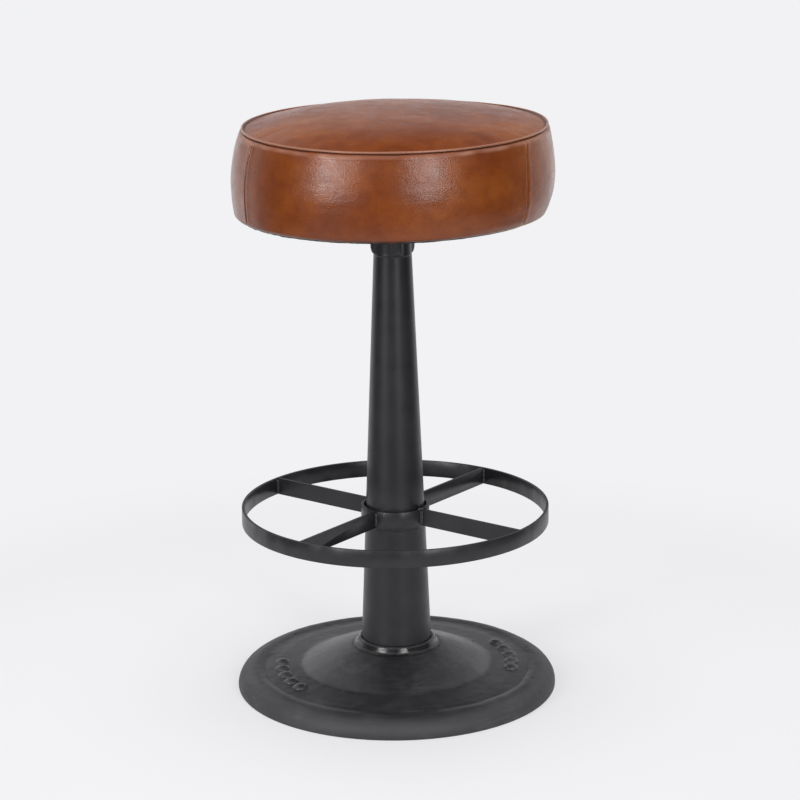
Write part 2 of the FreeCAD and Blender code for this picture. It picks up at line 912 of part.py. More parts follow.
def top_profile(inset):
    """Corners and bends of the crowned top, from its tucked edge to the middle."""
    edge = side_radius(seam_level, "leather_thickness + seam_groove")
    crown_edge = f"({edge} - roll_width)"
    corners = [
        (f"{edge} - {inset}", tuck_level),
        (crown_edge, f"{crown_level} - crown_edge_drop - {inset}"),
        ("0", f"{crown_level} - {inset}"),
    ]
    curve = f"(({crown_edge} ^ 2 + crown_edge_drop ^ 2) / (2 * crown_edge_drop))"
    fall = f"({curve} - sqrt({curve} ^ 2 - ({crown_edge} / 2) ^ 2))"
    slant = f"{inset} * sqrt(0.5)"
    bends = [
        (f"{edge} - roll_inset - {slant}", f"{crown_level} - roll_drop - {slant}"),
        (f"{crown_edge} / 2", f"{crown_level} - {fall} - {inset}"),
    ]
    return corners, bends


def leather_top_panel():
    body = new_body("leather_top_panel")
    outer, outer_bends = top_profile("0")
    inner, inner_bends = top_profile("leather_thickness")
    corners = outer + inner[::-1]
    bends = {0: outer_bends[0], 1: outer_bends[1], 3: inner_bends[1], 4: inner_bends[0]}
    turn_profile(body, corners, bends)
    return body


def seat_foam():
    """Foam on the board, with wadding down over the board's edge."""
    body = new_body("seat_foam")
    inside = "leather_thickness"
    top, top_bends = top_profile(inside)
    corners = [
        ("0", board_top),
        (board_radius, board_top),
        (board_radius, board_level),
        (side_radius(board_level, inside), board_level),
        (side_radius(tuck_level, inside), tuck_level),
    ] + top
    bends = {
        3: (f"seat_radius - {inside}", bulge_level),
        5: top_bends[0],
        6: top_bends[1],
    }
    turn_profile(body, corners, bends)
    return body


# The whole stool
nodes = [
    base_casting(),
    column(),
    column_foot_plate(),
    foot_weld_bead(),
    base_washers(),
    base_bolts(),
    hoop("footrest_ring", "footrest_radius", ring_inner),
    hoop("footrest_collar", collar_radius, collar_inner),
    *footrest_spokes(),
    footrest_weld_beads(),
    collar_weld_bead(),
    seat_post(),
    post_weld_bead(),
    mounting_plate(),
    mounting_bolts(),
    mounting_nuts(),
    swivel_lower_plate(),
    swivel_ball_cage(),
    swivel_balls(),
    swivel_pivot_rivet(),
    swivel_upper_plate(),
    seat_screws(),
    seat_tee_nuts(),
    seat_board(),
    dust_cover(),
    seat_foam(),
    leather_top_panel(),
    *leather_side_panels(),
]
doc.recompute()

# Every object has to be sound before anything is written
for thing in doc.Objects:
    if "Invalid" in thing.State or "Error" in thing.State:
        raise RuntimeError(f"{thing.Label} did not build")
for node in nodes:
    if node.Shape.isNull() or not node.Shape.isValid():
        raise RuntimeError(f"{node.Label} has no valid shape")

os.makedirs("parts", exist_ok=True)
for node in nodes:
    node.Shape.exportStep(f"parts/{node.Label}.step")
    box = node.Shape.BoundBox
    count = len(node.Shape.Solids)
    print(f"{node.Label}: {count} solid(s), {node.Shape.Volume / 1000:.1f} cm3, "
          f"z {box.ZMin:.2f} to {box.ZMax:.2f}")
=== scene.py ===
# %% [markdown]
# A counter stool: a round leather cushion on a ball-bearing swivel, a tapered steel column,
# a ring footrest of flat bar and a round cast iron base.
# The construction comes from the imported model, at its real size and place. This lesson dresses
# it: it gives every surface a finish and replaces the plain solids that show with finer meshes.

# %% Load the frame
import math

import bmesh
import bpy
import numpy as np
from mathutils import Matrix, Vector, noise


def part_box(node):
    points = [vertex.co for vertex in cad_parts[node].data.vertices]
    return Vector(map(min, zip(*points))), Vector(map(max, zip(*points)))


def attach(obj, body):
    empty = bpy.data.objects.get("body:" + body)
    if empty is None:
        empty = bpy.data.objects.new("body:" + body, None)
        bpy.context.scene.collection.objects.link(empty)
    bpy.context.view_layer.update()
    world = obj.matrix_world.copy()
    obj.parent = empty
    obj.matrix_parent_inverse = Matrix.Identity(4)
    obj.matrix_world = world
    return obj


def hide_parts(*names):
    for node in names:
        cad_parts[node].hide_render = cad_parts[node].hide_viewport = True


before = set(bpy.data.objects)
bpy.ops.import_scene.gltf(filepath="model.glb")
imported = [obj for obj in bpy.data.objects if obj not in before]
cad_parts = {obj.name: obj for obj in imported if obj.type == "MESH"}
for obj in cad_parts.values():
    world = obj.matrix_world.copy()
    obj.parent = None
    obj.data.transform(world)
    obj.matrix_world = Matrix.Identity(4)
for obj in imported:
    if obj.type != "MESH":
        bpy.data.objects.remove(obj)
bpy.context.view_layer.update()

# %% [markdown]
# Every length below is in metres, like the frame. MM turns a size in millimetres into metres.
# The main radii and levels are read from the frame's own boxes, so that each new mesh lies
# exactly where its plain solid lies.

# %% Sizes read from the frame
MM = 0.001


def low_of(node):
    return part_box(node)[0]


def high_of(node):
    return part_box(node)[1]


NECK_LEVEL = high_of("base_casting").z
COLUMN_FOOT_RADIUS = high_of("column").x
COLUMN_FOOT_LEVEL = low_of("column").z
COLUMN_TOP_LEVEL = high_of("column").z
HOOP_RADIUS = high_of("footrest_ring").x
HOOP_LOW = low_of("footrest_ring").z
HOOP_HIGH = high_of("footrest_ring").z
COLLAR_RADIUS = high_of("footrest_collar").x
HEM_LEVEL = low_of("seat_foam").z - 1.6 * MM
SEAM_LEVEL = high_of("leather_side_panel_1").z
CROWN_LEVEL = high_of("leather_top_panel").z
BOARD_LOW = low_of("seat_board").z
BOARD_HIGH = high_of("seat_board").z
BOARD_RADIUS = high_of("seat_board").x
SEAT_RADIUS = max(high_of(f"leather_side_panel_{n}").x for n in (1, 2, 3))
print(f"seat radius {SEAT_RADIUS / MM:.1f} mm, crown {CROWN_LEVEL / MM:.1f} mm, hem {HEM_LEVEL / MM:.1f} mm")

# %% [markdown]
# Node materials are trees of small boxes. These helpers add a box, feed its inputs and hand
# back one output, so that a finish reads as a few plain lines. All textures are measured in
# the object's own coordinates, in metres: a noise of scale 1000 has spots of about 1 mm.

# %% Helpers for materials
def new_material(name):
    material = bpy.data.materials.new(name)
    material.use_nodes = True
    tree = material.node_tree
    return material, tree, tree.nodes["Principled BSDF"]


def add_node(tree, kind, inputs=None, **settings):
    """A node with its settings, whose inputs are fed with sockets or given plain values."""
    node = tree.nodes.new(kind)
    for key, value in settings.items():
        setattr(node, key, value)
    for key, value in (inputs or {}).items():
        if isinstance(value, bpy.types.NodeSocket):
            tree.links.new(value, node.inputs[key])
        else:
            node.inputs[key].default_value = value
    return node


def place_of(tree, stretch=(1, 1, 1)):
    """The object's own coordinates, squeezed by a factor along each axis."""
    spot = add_node(tree, "ShaderNodeTexCoord").outputs["Object"]
    if stretch == (1, 1, 1):
        return spot
    return add_node(tree, "ShaderNodeMapping", {"Vector": spot, "Scale": stretch}).outputs["Vector"]

# %% [markdown]
# Patterns come from two textures, noise and pebbles. A ramp turns a pattern's value into a
# colour, and a few sums carry values from one range to another and mix colours.

# %% Textures, ramps and sums
def spots(tree, scale, detail=4.0, rough=0.55, bend=0.0, stretch=(1, 1, 1), at=None):
    inputs = {"Scale": scale, "Detail": detail, "Roughness": rough, "Distortion": bend,
              "Vector": at or place_of(tree, stretch)}
    return add_node(tree, "ShaderNodeTexNoise", inputs).outputs["Fac"]


def pebbles(tree, scale):
    inputs = {"Scale": scale, "Vector": place_of(tree), "Smoothness": 0.6}
    return add_node(tree, "ShaderNodeTexVoronoi", inputs, feature="SMOOTH_F1").outputs["Distance"]


def ramp(tree, value, stops):
    """Turns a value into a colour. stops are (value, colour) pairs."""
    node = add_node(tree, "ShaderNodeValToRGB", {"Fac": value})
    band = node.color_ramp
    while len(band.elements) < len(stops):
        band.elements.new(0.5)
    for element, (where, colour) in zip(band.elements, stops):
        element.position = where
        element.color = (*colour, 1.0)
    return node.outputs["Color"]


def greys(tree, value, stops):
    """A ramp of greys. A stop is (value, grey), with its own blue as a third number if cool."""
    return ramp(tree, value, [(stop[0], (stop[1], stop[1], stop[-1])) for stop in stops])


def between(tree, value, low, high, to_low, to_high):
    """Carries a value from one range to another, clamped."""
    inputs = {"Value": value, "From Min": low, "From Max": high, "To Min": to_low, "To Max": to_high}
    return add_node(tree, "ShaderNodeMapRange", inputs).outputs["Result"]


def sums(tree, first, second, operation="ADD"):
    return add_node(tree, "ShaderNodeMath", {0: first, 1: second}, operation=operation).outputs["Value"]


def scaled(tree, value, factor):
    return sums(tree, value, factor, "MULTIPLY")


def mixed(tree, share, first, second, blend="MIX"):
    """Mixes two colours by a share. The node's inputs 6 and 7 are its two colours."""
    inputs = {0: share, 6: first, 7: second}
    return add_node(tree, "ShaderNodeMix", inputs, data_type="RGBA", blend_type=blend).outputs[2]


def product(tree, first, *others):
    """Multiplies colours with one another."""
    for other in others:
        first = mixed(tree, 1.0, first, other, "MULTIPLY")
    return first

# %% [markdown]
# A bump tilts the light on a surface as if it had relief too fine to be worth a mesh. One
# helper feeds the shader, and another makes a whole plain finish out of spots.

# %% Bumps and whole finishes
def bumped(tree, height, depth, under=None):
    """A bump as deep as depth, in metres, on top of another bump."""
    inputs = {"Height": height, "Distance": depth, "Strength": 1.0}
    if under:
        inputs["Normal"] = under
    return add_node(tree, "ShaderNodeBump", inputs).outputs["Normal"]


def length_of(tree, vector):
    return add_node(tree, "ShaderNodeVectorMath", {0: vector}, operation="LENGTH").outputs["Value"]


def ring_place(tree, radius_scale, angle_scale):
    """Coordinates that run round the column's axis, for marks left by turning."""
    parts = add_node(tree, "ShaderNodeSeparateXYZ", {"Vector": place_of(tree)})
    x, y, z = (parts.outputs[axis] for axis in "XYZ")
    flat = add_node(tree, "ShaderNodeCombineXYZ", {"X": x, "Y": y}).outputs["Vector"]
    inputs = {"X": scaled(tree, length_of(tree, flat), radius_scale),
              "Y": scaled(tree, sums(tree, y, x, "ARCTAN2"), angle_scale),
              "Z": scaled(tree, z, radius_scale)}
    return add_node(tree, "ShaderNodeCombineXYZ", inputs).outputs["Vector"]


def connect(tree, shader, colour, gloss, normal=None):
    """Feeds the shader its colour, its roughness and, where there is one, its bump."""
    for key, socket in (("Base Color", colour), ("Roughness", gloss), ("Normal", normal)):
        if socket:
            tree.links.new(socket, shader.inputs[key])


def finish(name, stops, tint_spots, gloss, gloss_spots, bumps=(), specular=0.5, metallic=0.0):
    """A plain finish: spots for its colour, for its gloss and for each bump."""
    material, tree, shader = new_material(name)
    normal = None
    for depth, pattern in bumps:
        normal = bumped(tree, spots(tree, **pattern), depth, normal)
    connect(tree, shader, ramp(tree, spots(tree, **tint_spots), stops),
            between(tree, spots(tree, **gloss_spots), 0.3, 0.7, *gloss), normal)
    shader.inputs["Specular IOR Level"].default_value = specular
    shader.inputs["Metallic"].default_value = metallic
    return material


# %% [markdown]
# Leather. The hide is a tan, polished with wax by hand: dark brown clouds over an amber ground,
# a fine pebbled grain, and long shallow creases where it has been pulled over the foam. The wax
# on it gives a soft clear sheen. The mesh carries two values, which the material reads by name:
# painted shade in the folds of the seams, with a darkening along the hem, and a painted
# highlight, a paler colour on the raised seam, the rounded edge below it and the shoulders of
# the upright seams.

# %% Leather
def make_leather():
    material, tree, shader = new_material("tan_leather")
    clouds = spots(tree, 9, detail=3.0, rough=0.5, bend=0.5)
    mottle = spots(tree, 46, detail=6.0, rough=0.62, bend=0.4)
    hide = ramp(tree, sums(tree, scaled(tree, clouds, 0.62), scaled(tree, mottle, 0.38)), [
        (0.34, (0.125, 0.024, 0.0026)), (0.46, (0.180, 0.036, 0.0032)),
        (0.55, (0.224, 0.049, 0.0042)), (0.68, (0.300, 0.078, 0.0075))])
    # Painted shade in the folds of the seams and a darker hem, and a painted highlight on the raised seam, both
    # read from the mesh.
    painted_shade = add_node(tree, "ShaderNodeAttribute", attribute_name="painted_shade").outputs["Fac"]
    painted_highlight = add_node(tree, "ShaderNodeAttribute", attribute_name="painted_highlight").outputs["Fac"]
    # The painted highlight mixes in a pale colour, then the painted shade mixes in a near-black brown.
    paler = mixed(tree, painted_highlight, hide, (0.440, 0.220, 0.150, 1.0))
    painted_light_tone = mixed(tree, painted_shade, paler, (0.045, 0.012, 0.005, 1.0))
    pores = between(tree, pebbles(tree, 950), 0.0, 0.55, 1.0, 0.0)
    with_pores = mixed(tree, scaled(tree, pores, 0.10), painted_light_tone, (0.08, 0.022, 0.008, 1.0))
    gloss = between(tree, spots(tree, 60, detail=5.0), 0.3, 0.7, 0.26, 0.36)
    creases = spots(tree, 95, detail=5.0, rough=0.65, bend=0.9, stretch=(0.50, 0.50, 1.4))
    normal = bumped(tree, between(tree, creases, 0.36, 0.64, 0.0, 1.0), 0.08 * MM)
    normal = bumped(tree, pebbles(tree, 780), 0.13 * MM, normal)
    normal = bumped(tree, spots(tree, 2600, detail=2.0), 0.02 * MM, normal)
    connect(tree, shader, with_pores, gloss, normal)
    shader.inputs["Specular IOR Level"].default_value = 0.47
    return material


LEATHER = make_leather()
print("leather ready")

# %% [markdown]
# Powder coat. The column, the footrest and the post share one satin black coat, baked on in a
# thin even skin. Close up it has a faint orange-peel texture, and its gloss varies a little.

# %% Black powder coat
POWDER_COAT = finish(
    "black_powder_coat", [(0.3, (0.0130, 0.0122, 0.0142)), (0.7, (0.0200, 0.0188, 0.0218))],
    {"scale": 30, "detail": 3.0}, (0.32, 0.42), {"scale": 70, "detail": 5.0},
    [(0.02 * MM, {"scale": 900, "detail": 2.0}), (0.05 * MM, {"scale": 85, "detail": 2.0})], 0.45)

# %% [markdown]
# Cast iron. The base was poured in sand, ground a little on its flat tread and blackened. So it
# has a sandy skin, faint grinding marks that run round it, and patches of different gloss. The
# rim was left as cast, and is duller. To the left and right of the column the tread is painted
# paler, a painted sheen where the flat tread catches reflection.

# %% Blackened cast iron
def make_cast_iron():
    material, tree, shader = new_material("blackened_cast_iron")
    streaks = spots(tree, 1.0, detail=5.0, rough=0.7, bend=0.5, at=ring_place(tree, 420, 5.0))
    patches = spots(tree, 26, detail=5.0, rough=0.6)
    tone = sums(tree, scaled(tree, streaks, 0.45), scaled(tree, patches, 0.55))
    black = ramp(tree, tone, [(0.36, (0.0100, 0.0094, 0.0109)), (0.52, (0.0175, 0.0165, 0.0189)),
                              (0.66, (0.0420, 0.0396, 0.0448))])
    painted_light_tone = ramp(tree, tone, [(0.36, (0.0250, 0.0236, 0.0268)), (0.52, (0.0430, 0.0406, 0.0460)),
                             (0.66, (0.0900, 0.0850, 0.0960))])
    spot = place_of(tree)
    sideways = add_node(tree, "ShaderNodeVectorMath", {0: spot, 1: (1.0, 0.0, 0.0)}, operation="MULTIPLY")
    # Painted sheen: the tread is paler to the left and right of the column.
    painted_sheen_sides = between(tree, length_of(tree, sideways.outputs[0]), 0.045, 0.125, 0.0, 0.62)
    unground = between(tree, length_of(tree, spot), 0.158, 0.175, 0.0, 0.30)
    gloss = sums(tree, between(tree, tone, 0.35, 0.65, 0.27, 0.41), unground)
    sand = bumped(tree, spots(tree, 620, detail=4.0, rough=0.65), 0.10 * MM)
    connect(tree, shader, mixed(tree, painted_sheen_sides, black, painted_light_tone), gloss, bumped(tree, streaks, 0.05 * MM, sand))
    shader.inputs["IOR"].default_value = 1.62
    return material


CAST_IRON = make_cast_iron()

# %% [markdown]
# Paint that pooled. Where the beads of weld and filler meet two pieces, the black paint has run
# together thick and glossy.

# %% Glossy paint on the beads
POOLED_PAINT = finish(
    "pooled_black_paint", [(0.35, (0.010, 0.010, 0.011)), (0.70, (0.030, 0.029, 0.031))],
    {"scale": 120, "detail": 4.0}, (0.14, 0.28), {"scale": 160},
    [(0.16 * MM, {"scale": 150, "detail": 3.0, "bend": 0.8})], 0.40)

# %% [markdown]
# The small hardware under the seat is zinc-plated steel, dull and slightly cloudy. The balls
# are polished. The seat board is plywood, whose plies show as level bands on its edge, and the
# cloth under the seat is a pressed felt of black fibres.

# %% Hardware, board and cloth
GRAIN = {"scale": 1.0, "detail": 6.0, "bend": 1.5, "stretch": (18, 160, 700)}
FIBRES = {"scale": 1900, "detail": 4.0, "rough": 0.75, "bend": 1.8}
ZINC = finish(
    "zinc_plate", [(0.3, (0.42, 0.42, 0.40)), (0.7, (0.60, 0.60, 0.58))],
    {"scale": 90, "detail": 5.0}, (0.30, 0.46), {"scale": 240}, [(0.012 * MM, {"scale": 1500})], metallic=1.0)
POLISHED_STEEL = finish(
    "polished_steel", [(0.3, (0.58, 0.58, 0.59)), (0.7, (0.70, 0.70, 0.71))],
    {"scale": 300}, (0.08, 0.14), {"scale": 500}, metallic=1.0)
PLYWOOD = finish(
    "plywood", [(0.30, (0.33, 0.20, 0.10)), (0.55, (0.52, 0.36, 0.20)), (0.75, (0.62, 0.46, 0.28))],
    GRAIN, (0.55, 0.75), GRAIN, [(0.08 * MM, GRAIN)])
FELT = finish(
    "black_felt", [(0.35, (0.008, 0.008, 0.009)), (0.72, (0.030, 0.030, 0.032))],
    FIBRES, (0.75, 0.95), FIBRES, [(0.10 * MM, FIBRES)])
THREAD = finish(
    "brown_thread", [(0.3, (0.030, 0.011, 0.006)), (0.7, (0.075, 0.027, 0.012))],
    {"scale": 900}, (0.45, 0.65), {"scale": 700})
print(len(bpy.data.materials), "materials in the file")

# %% [markdown]
# Meshes. These helpers make an object out of points and faces: they weld what coincides, shade
# it, give it its material and hang it on one of the frame's bodies.

# %% Helpers for meshes
def grid_faces(rows, columns, wrap_rows=False):
    """Quads between neighbouring points of rings that are numbered ring by ring."""
    i, j = np.meshgrid(np.arange(rows if wrap_rows else rows - 1), np.arange(columns), indexing="ij")
    i_next = (i + 1) % rows
    j_next = (j + 1) % columns
    corners = [i * columns + j, i * columns + j_next, i_next * columns + j_next, i_next * columns + j]
    return np.stack(corners, -1).reshape(-1, 4).tolist()


def show(name, data):
    """Puts a new object with this mesh, lamp or camera into the scene."""
    thing = bpy.data.objects.new(name, data)
    bpy.context.scene.collection.objects.link(thing)
    return thing


def add_piece(name, shape, material, body, smooth=True):
    """Makes an object of points and faces, welds what coincides, and lets it ride on a body."""
    mesh = bpy.data.meshes.new(name)
    mesh.from_pydata([tuple(p) for p in shape[0]], [], shape[1])
    work = bmesh.new()
    work.from_mesh(mesh)
    bmesh.ops.remove_doubles(work, verts=work.verts, dist=1e-6)
    bmesh.ops.recalc_face_normals(work, faces=work.faces)
    work.to_mesh(mesh)
    work.free()
    if smooth:
        mesh.shade_smooth()
    mesh.materials.append(material)
    piece = show(name, mesh)
    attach(piece, body)
    return piece


def soften(piece, width, segments, **limits):
    """Rounds a piece's edges with a bevel."""
    bevel = piece.modifiers.new("soft_edges", "BEVEL")
    for key, value in {"width": width, "segments": segments, "harden_normals": True, **limits}.items():
        setattr(bevel, key, value)


def coords(mesh):
    """The points of a mesh, one row each."""
    spot = np.zeros(len(mesh.vertices) * 3)
    mesh.vertices.foreach_get("co", spot)
    return spot.reshape(-1, 3)


def on_ring(radius, angle, level=0.0):
    """The point at a radius, at an angle about the axis and at a level."""
    return np.array([radius * math.cos(angle), radius * math.sin(angle), level])


def even_angles(count):
    """Angles that share out a full turn."""
    return np.arange(count) * 2 * math.pi / count


def grid_about_axis(radius, level, angles):
    """Rows of points, each row with its radius and level, at the angles about the axis."""
    points = radius[..., None] * np.stack([np.cos(angles), np.sin(angles), 0 * angles], -1)
    points[..., 2] = level
    return points


def radius_of(points):
    """Distance of each point from the axis."""
    return np.hypot(points[..., 0], points[..., 1])


def wrapped(angle):
    """An angle brought between minus and plus half a turn."""
    return (angle + math.pi) % (2 * math.pi) - math.pi


def join_parts(parts):
    """One list of points and one of faces from several."""
    points, faces = [], []
    for part_points, part_faces in parts:
        faces += [tuple(k + len(points) for k in face) for face in part_faces]
        points += [tuple(p) for p in part_points]
    return points, faces

# %% [markdown]
# Almost everything on this stool was turned, cast round or bent round, so one helper turns an
# outline about the upright axis. Another draws a smooth line through a few points, which is
# how a maker's template would be drawn. rough_field gives the small faults of real surfaces.

# %% Helpers for turned forms
def smooth_line(points, per_span=6):
    """A smooth line through the points, with a given number of steps between each pair."""
    points = np.array(points, float)
    a = np.vstack([2 * points[0] - points[1], points[:-2]])
    b, c = points[:-1], points[1:]
    d = np.vstack([points[2:], 2 * points[-1] - points[-2]])
    t = (np.arange(per_span) / per_span)[:, None, None]
    line = 0.5 * (2 * b + (c - a) * t + (2 * a - 5 * b + 4 * c - d) * t ** 2 + (3 * b - 3 * c + d - a) * t ** 3)
    return np.vstack([line.swapaxes(0, 1).reshape(-1, points.shape[1]), points[-1]])


def rounded_section(left, right, low, high, corner, steps=4):
    """A rectangle with round corners, as a closed outline of (radius, level) points."""
    outline = []
    middles = [(right - corner, low + corner), (right - corner, high - corner),
               (left + corner, high - corner), (left + corner, low + corner)]
    for quarter, (x, z) in enumerate(middles):
        for step in range(steps + 1):
            angle = math.radians(90 * (quarter - 1) + 90 * step / steps)
            outline.append((x + corner * math.cos(angle), z + corner * math.sin(angle)))
    return outline


def turned(outline, steps, closed=True):
    """Points and faces of an outline of (radius, level) that is turned about the axis."""
    outline = np.array(outline, float)
    points = grid_about_axis(outline[:, :1], outline[:, 1:], even_angles(steps))
    return points.reshape(-1, 3), grid_faces(len(outline), steps, wrap_rows=closed)


def rough_field(points, scale, seed=0.0):
    """Smooth random values, one for each point, about zero. scale is spots per metre."""
    shift = Vector((seed, 2.3 * seed, -1.7 * seed))
    return np.array([noise.noise(Vector(p) * scale + shift) for p in points])


def bell(distance, width):
    return np.exp(-(distance / width) ** 2)


# %% [markdown]
# The base casting. Its outline is drawn once, from the floor up over the rolled rim, a shallow
# crease and the flat tread to the dome and the neck, then back along the hollow underside. The
# outer half is then roughened: a slow waviness from the wooden pattern, small sand lumps, and a
# few real pits. The crease is nearly ground away at the back. Six ribs and the hub are below.

# %% Base casting
BASE_OUTSIDE = [
    [(176.0, 0.0), (178.0, 0.15), (178.9, 0.9), (179.2, 2.6), (178.9, 6.0), (177.6, 10.0),
     (174.9, 14.2), (170.8, 17.9), (165.8, 20.4), (160.5, 21.6), (156.0, 21.7), (152.6, 21.3),
     (150.2, 20.8), (147.8, 20.9), (144.5, 21.4), (138.5, 21.9)],
    [(138.5, 21.9), (132.0, 22.5), (120.0, 23.2), (111.0, 23.8), (106.8, 24.4), (103.2, 25.8),
     (99.4, 27.9), (92.0, 31.6), (84.0, 35.0), (75.0, 38.8), (65.0, 42.6), (56.0, 45.6),
     (51.0, 47.1), (48.0, 47.5), (41.0, 47.5)]]
BASE_UNDERSIDE = [
    (40.5, 30.0), (0.0, 30.0), (0.0, 18.0), (50.5, 18.0), (52.0, 19.5), (55.0, 33.9),
    (75.0, 30.3), (96.7, 18.9), (103.0, 15.9), (155.0, 13.2), (157.2, 11.5), (160.0, 0.0)]
PITS = [(150.5, -52.0, 1.3), (158.0, -66.0, 1.1), (156.5, -78.0, 1.4), (-62.0, -92.0, 1.2),
        (28.0, 121.0, 1.3), (-118.0, 96.0, 1.5), (88.0, 61.0, 1.1)]
SHOULDER = 18 * MM


def make_base(steps=448):
    rim, dome = (smooth_line(points, 5) for points in BASE_OUTSIDE)
    outside = np.vstack([rim, dome[1:]])
    outline = np.vstack([outside, BASE_UNDERSIDE]) * MM
    points, faces = turned(outline, steps)
    radius = radius_of(points)
    far = np.maximum(radius, 1e-6)[:, None]
    level = points[:, 2]
    outer = np.repeat(np.arange(len(outline)) < len(outside), steps) & (level > 1.2 * MM)
    on_rim = level < SHOULDER
    outward = on_rim[:, None] * points / far
    push = rough_field(points, 26, 3.1) * 0.35 * MM + rough_field(points, 110, 8.4) * 0.16 * MM
    push += rough_field(points, 420, 5.2) * 0.04 * MM
    at_back = np.clip(points[:, 1] / far[:, 0] / 0.6 + 0.6, 0, 1)
    push += 0.65 * MM * at_back * bell(radius - 0.1495, 0.0035)
    for x, y, wide in PITS:
        push -= bell(np.hypot(points[:, 0] - x * MM, points[:, 1] - y * MM), wide * MM) * 0.9 * MM
    push *= outer
    points[:, :2] += push[:, None] * outward[:, :2]
    points[:, 2] += push * ~on_rim
    wander = rough_field(points / far * (0.1, 0.1, 0), 55, 3.3) * 1.2 * MM
    edges = bell(radius - 0.102, 0.012) + bell(radius - 0.148, 0.010)
    points[:, :2] *= (1 + wander * edges * (level > SHOULDER) / 0.1)[:, None]
    base = add_piece("cast_base", (points, faces), CAST_IRON, "pedestal")
    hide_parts("base_casting")
    return base


base = make_base()
print("base:", len(base.data.polygons), "faces")

# %% [markdown]
# The ribs under the base are plain webs. Each is an outline of radius and level, given a
# thickness and soft edges, and stood at its angle.

# %% Ribs under the base
RIB_OUTLINE = [(48, 18.2), (158.5, 6), (161, 9), (150, 17), (103, 20), (75, 34), (48, 40)]
RIB_THICKNESS = 7 * MM
RIB_COUNT = 6


def add_rib(name, angle):
    """A flat web that stands on a line from the axis, with softened edges."""
    count = len(RIB_OUTLINE)
    points = [(r * MM, side * RIB_THICKNESS / 2, z * MM) for side in (-1, 1) for r, z in RIB_OUTLINE]
    faces = [tuple(range(count)), tuple(range(2 * count - 1, count - 1, -1))]
    faces += [(k, k + count, (k + 1) % count + count, (k + 1) % count) for k in range(count)]
    web = add_piece(name, (points, faces), CAST_IRON, "pedestal", smooth=False)
    web.data.transform(Matrix.Rotation(angle, 4, "Z"))
    soften(web, 1.2 * MM, 3)
    web.data.shade_smooth()


for step in range(RIB_COUNT):
    add_rib(f"base_rib_{step + 1}", 2 * math.pi / RIB_COUNT * step)
print(RIB_COUNT, "ribs")

# %% [markdown]
# Two rows of five raised studs stand on the tread, left and right. They are a plain ornament,
# cast with the base, so their edges are soft and their feet flare into the metal. Each is a
# small mound: a round outline repeated at rising levels and shrinking sizes.

# %% Raised studs on the tread
STUD_RADIUS = 130 * MM
STUD_HALF = 8.4 * MM
STUD_HEIGHT = 3.0 * MM
STUD_STEPS = [-18.4, -9.2, 0.0, 9.2, 18.4]
STUD_RINGS = [(1.08, -0.4), (1.02, 0.02), (0.96, 0.20), (0.87, 0.45),
              (0.72, 0.70), (0.5, 0.87), (0.25, 0.97), (0.02, 1.0)]


def tread_level(radius):
    """Level of the tread's slope at a radius."""
    return (24.4 - (radius / MM - 103) / (148.5 - 103) * (24.4 - 21.5)) * MM


def stud(middle, steps=28):
    """Points and faces of one stud at an angle: rings that rise and shrink."""
    points = []
    for share, rise in STUD_RINGS:
        for turn in even_angles(steps):
            radius = STUD_RADIUS + share * STUD_HALF * math.sin(turn)
            angle = middle + share * STUD_HALF * math.cos(turn) / STUD_RADIUS
            points.append(on_ring(radius, angle, tread_level(radius) + rise * STUD_HEIGHT))
    return points, grid_faces(len(STUD_RINGS), steps)


def make_studs(name, middle):
    points, faces = join_parts([stud(math.radians(middle + offset)) for offset in STUD_STEPS])
    points = np.array(points)
    points += rough_field(points, 260, 2.0)[:, None] * 0.12 * MM
    add_piece(name, (points, faces), CAST_IRON, "pedestal")


make_studs("raised_studs_left", 196)
make_studs("raised_studs_right", 10)
print("studs:", 2 * len(STUD_STEPS))

# %% [markdown]
# A weld or a filler bead is never even: it swells and thins every few millimetres. One helper
# turns a small outline about the axis and lets it breathe about the corner that it fills.

# %% Bead round the column's foot
COLUMN_TOP_RADIUS = 20.85 * MM
FOOT_BEAD = [(0.0, -0.4), (10.0, -0.4), (8.2, 0.3), (6.2, 1.6), (5.0, 4.0), (4.0, 6.8), (2.4, 8.3),
             (0.6, 8.6), (0.0, 7.6)]


def rippled_ring(outline, corner, steps, amount, ripples, seed):
    """A turned bead whose section grows and shrinks about a corner (radius, level)."""
    points, faces = turned(outline, steps)
    radius = radius_of(points)
    around = points / np.maximum(radius, 1e-6)[:, None]
    around[:, 2] = 0
    swell = 1 + amount * rough_field(around * corner[0], ripples, seed)
    swell += 0.5 * amount * rough_field(around * corner[0], 3 * ripples, seed + 4)
    points[:, :2] = around[:, :2] * (corner[0] + (radius - corner[0]) * swell)[:, None]
    points[:, 2] = corner[1] + (points[:, 2] - corner[1]) * swell
    return points, faces


def column_radius(level):
    """Radius of the tapered column at a level."""
    share = (level - COLUMN_FOOT_LEVEL) / (COLUMN_TOP_LEVEL - COLUMN_FOOT_LEVEL)
    return COLUMN_FOOT_RADIUS + share * (COLUMN_TOP_RADIUS - COLUMN_FOOT_RADIUS)


foot_radius = column_radius(NECK_LEVEL) - 0.3 * MM
foot_outline = smooth_line([(foot_radius + r * MM, NECK_LEVEL + z * MM) for r, z in FOOT_BEAD], 4)
foot_bead = add_piece("foot_bead", rippled_ring(foot_outline, (foot_radius, NECK_LEVEL), 220, 0.12, 30, 1.7),
                      POOLED_PAINT, "pedestal")
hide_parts("foot_weld_bead")
print(f"foot bead round a column of radius {foot_radius / MM:.1f} mm")

# %% [markdown]
# The footrest is welded where each spoke meets the collar and the hoop. Each weld is a short
# upright bead in the corner between two bars, built as a knobbly tube that tapers at its ends.
# At the front right some weld has also run over the collar's top edge.

# %% Welds of the footrest
SPOKE_ANGLES = [math.radians(52.8 + 90 * n) for n in range(4)]
BAR_HALF = 1.6 * MM
HOOP_INNER = HOOP_RADIUS - 2 * BAR_HALF
DROP = [(-9, -2.2), (-5, -1.4), (-1, 0.4), (3, -0.6), (7, -1.8)]


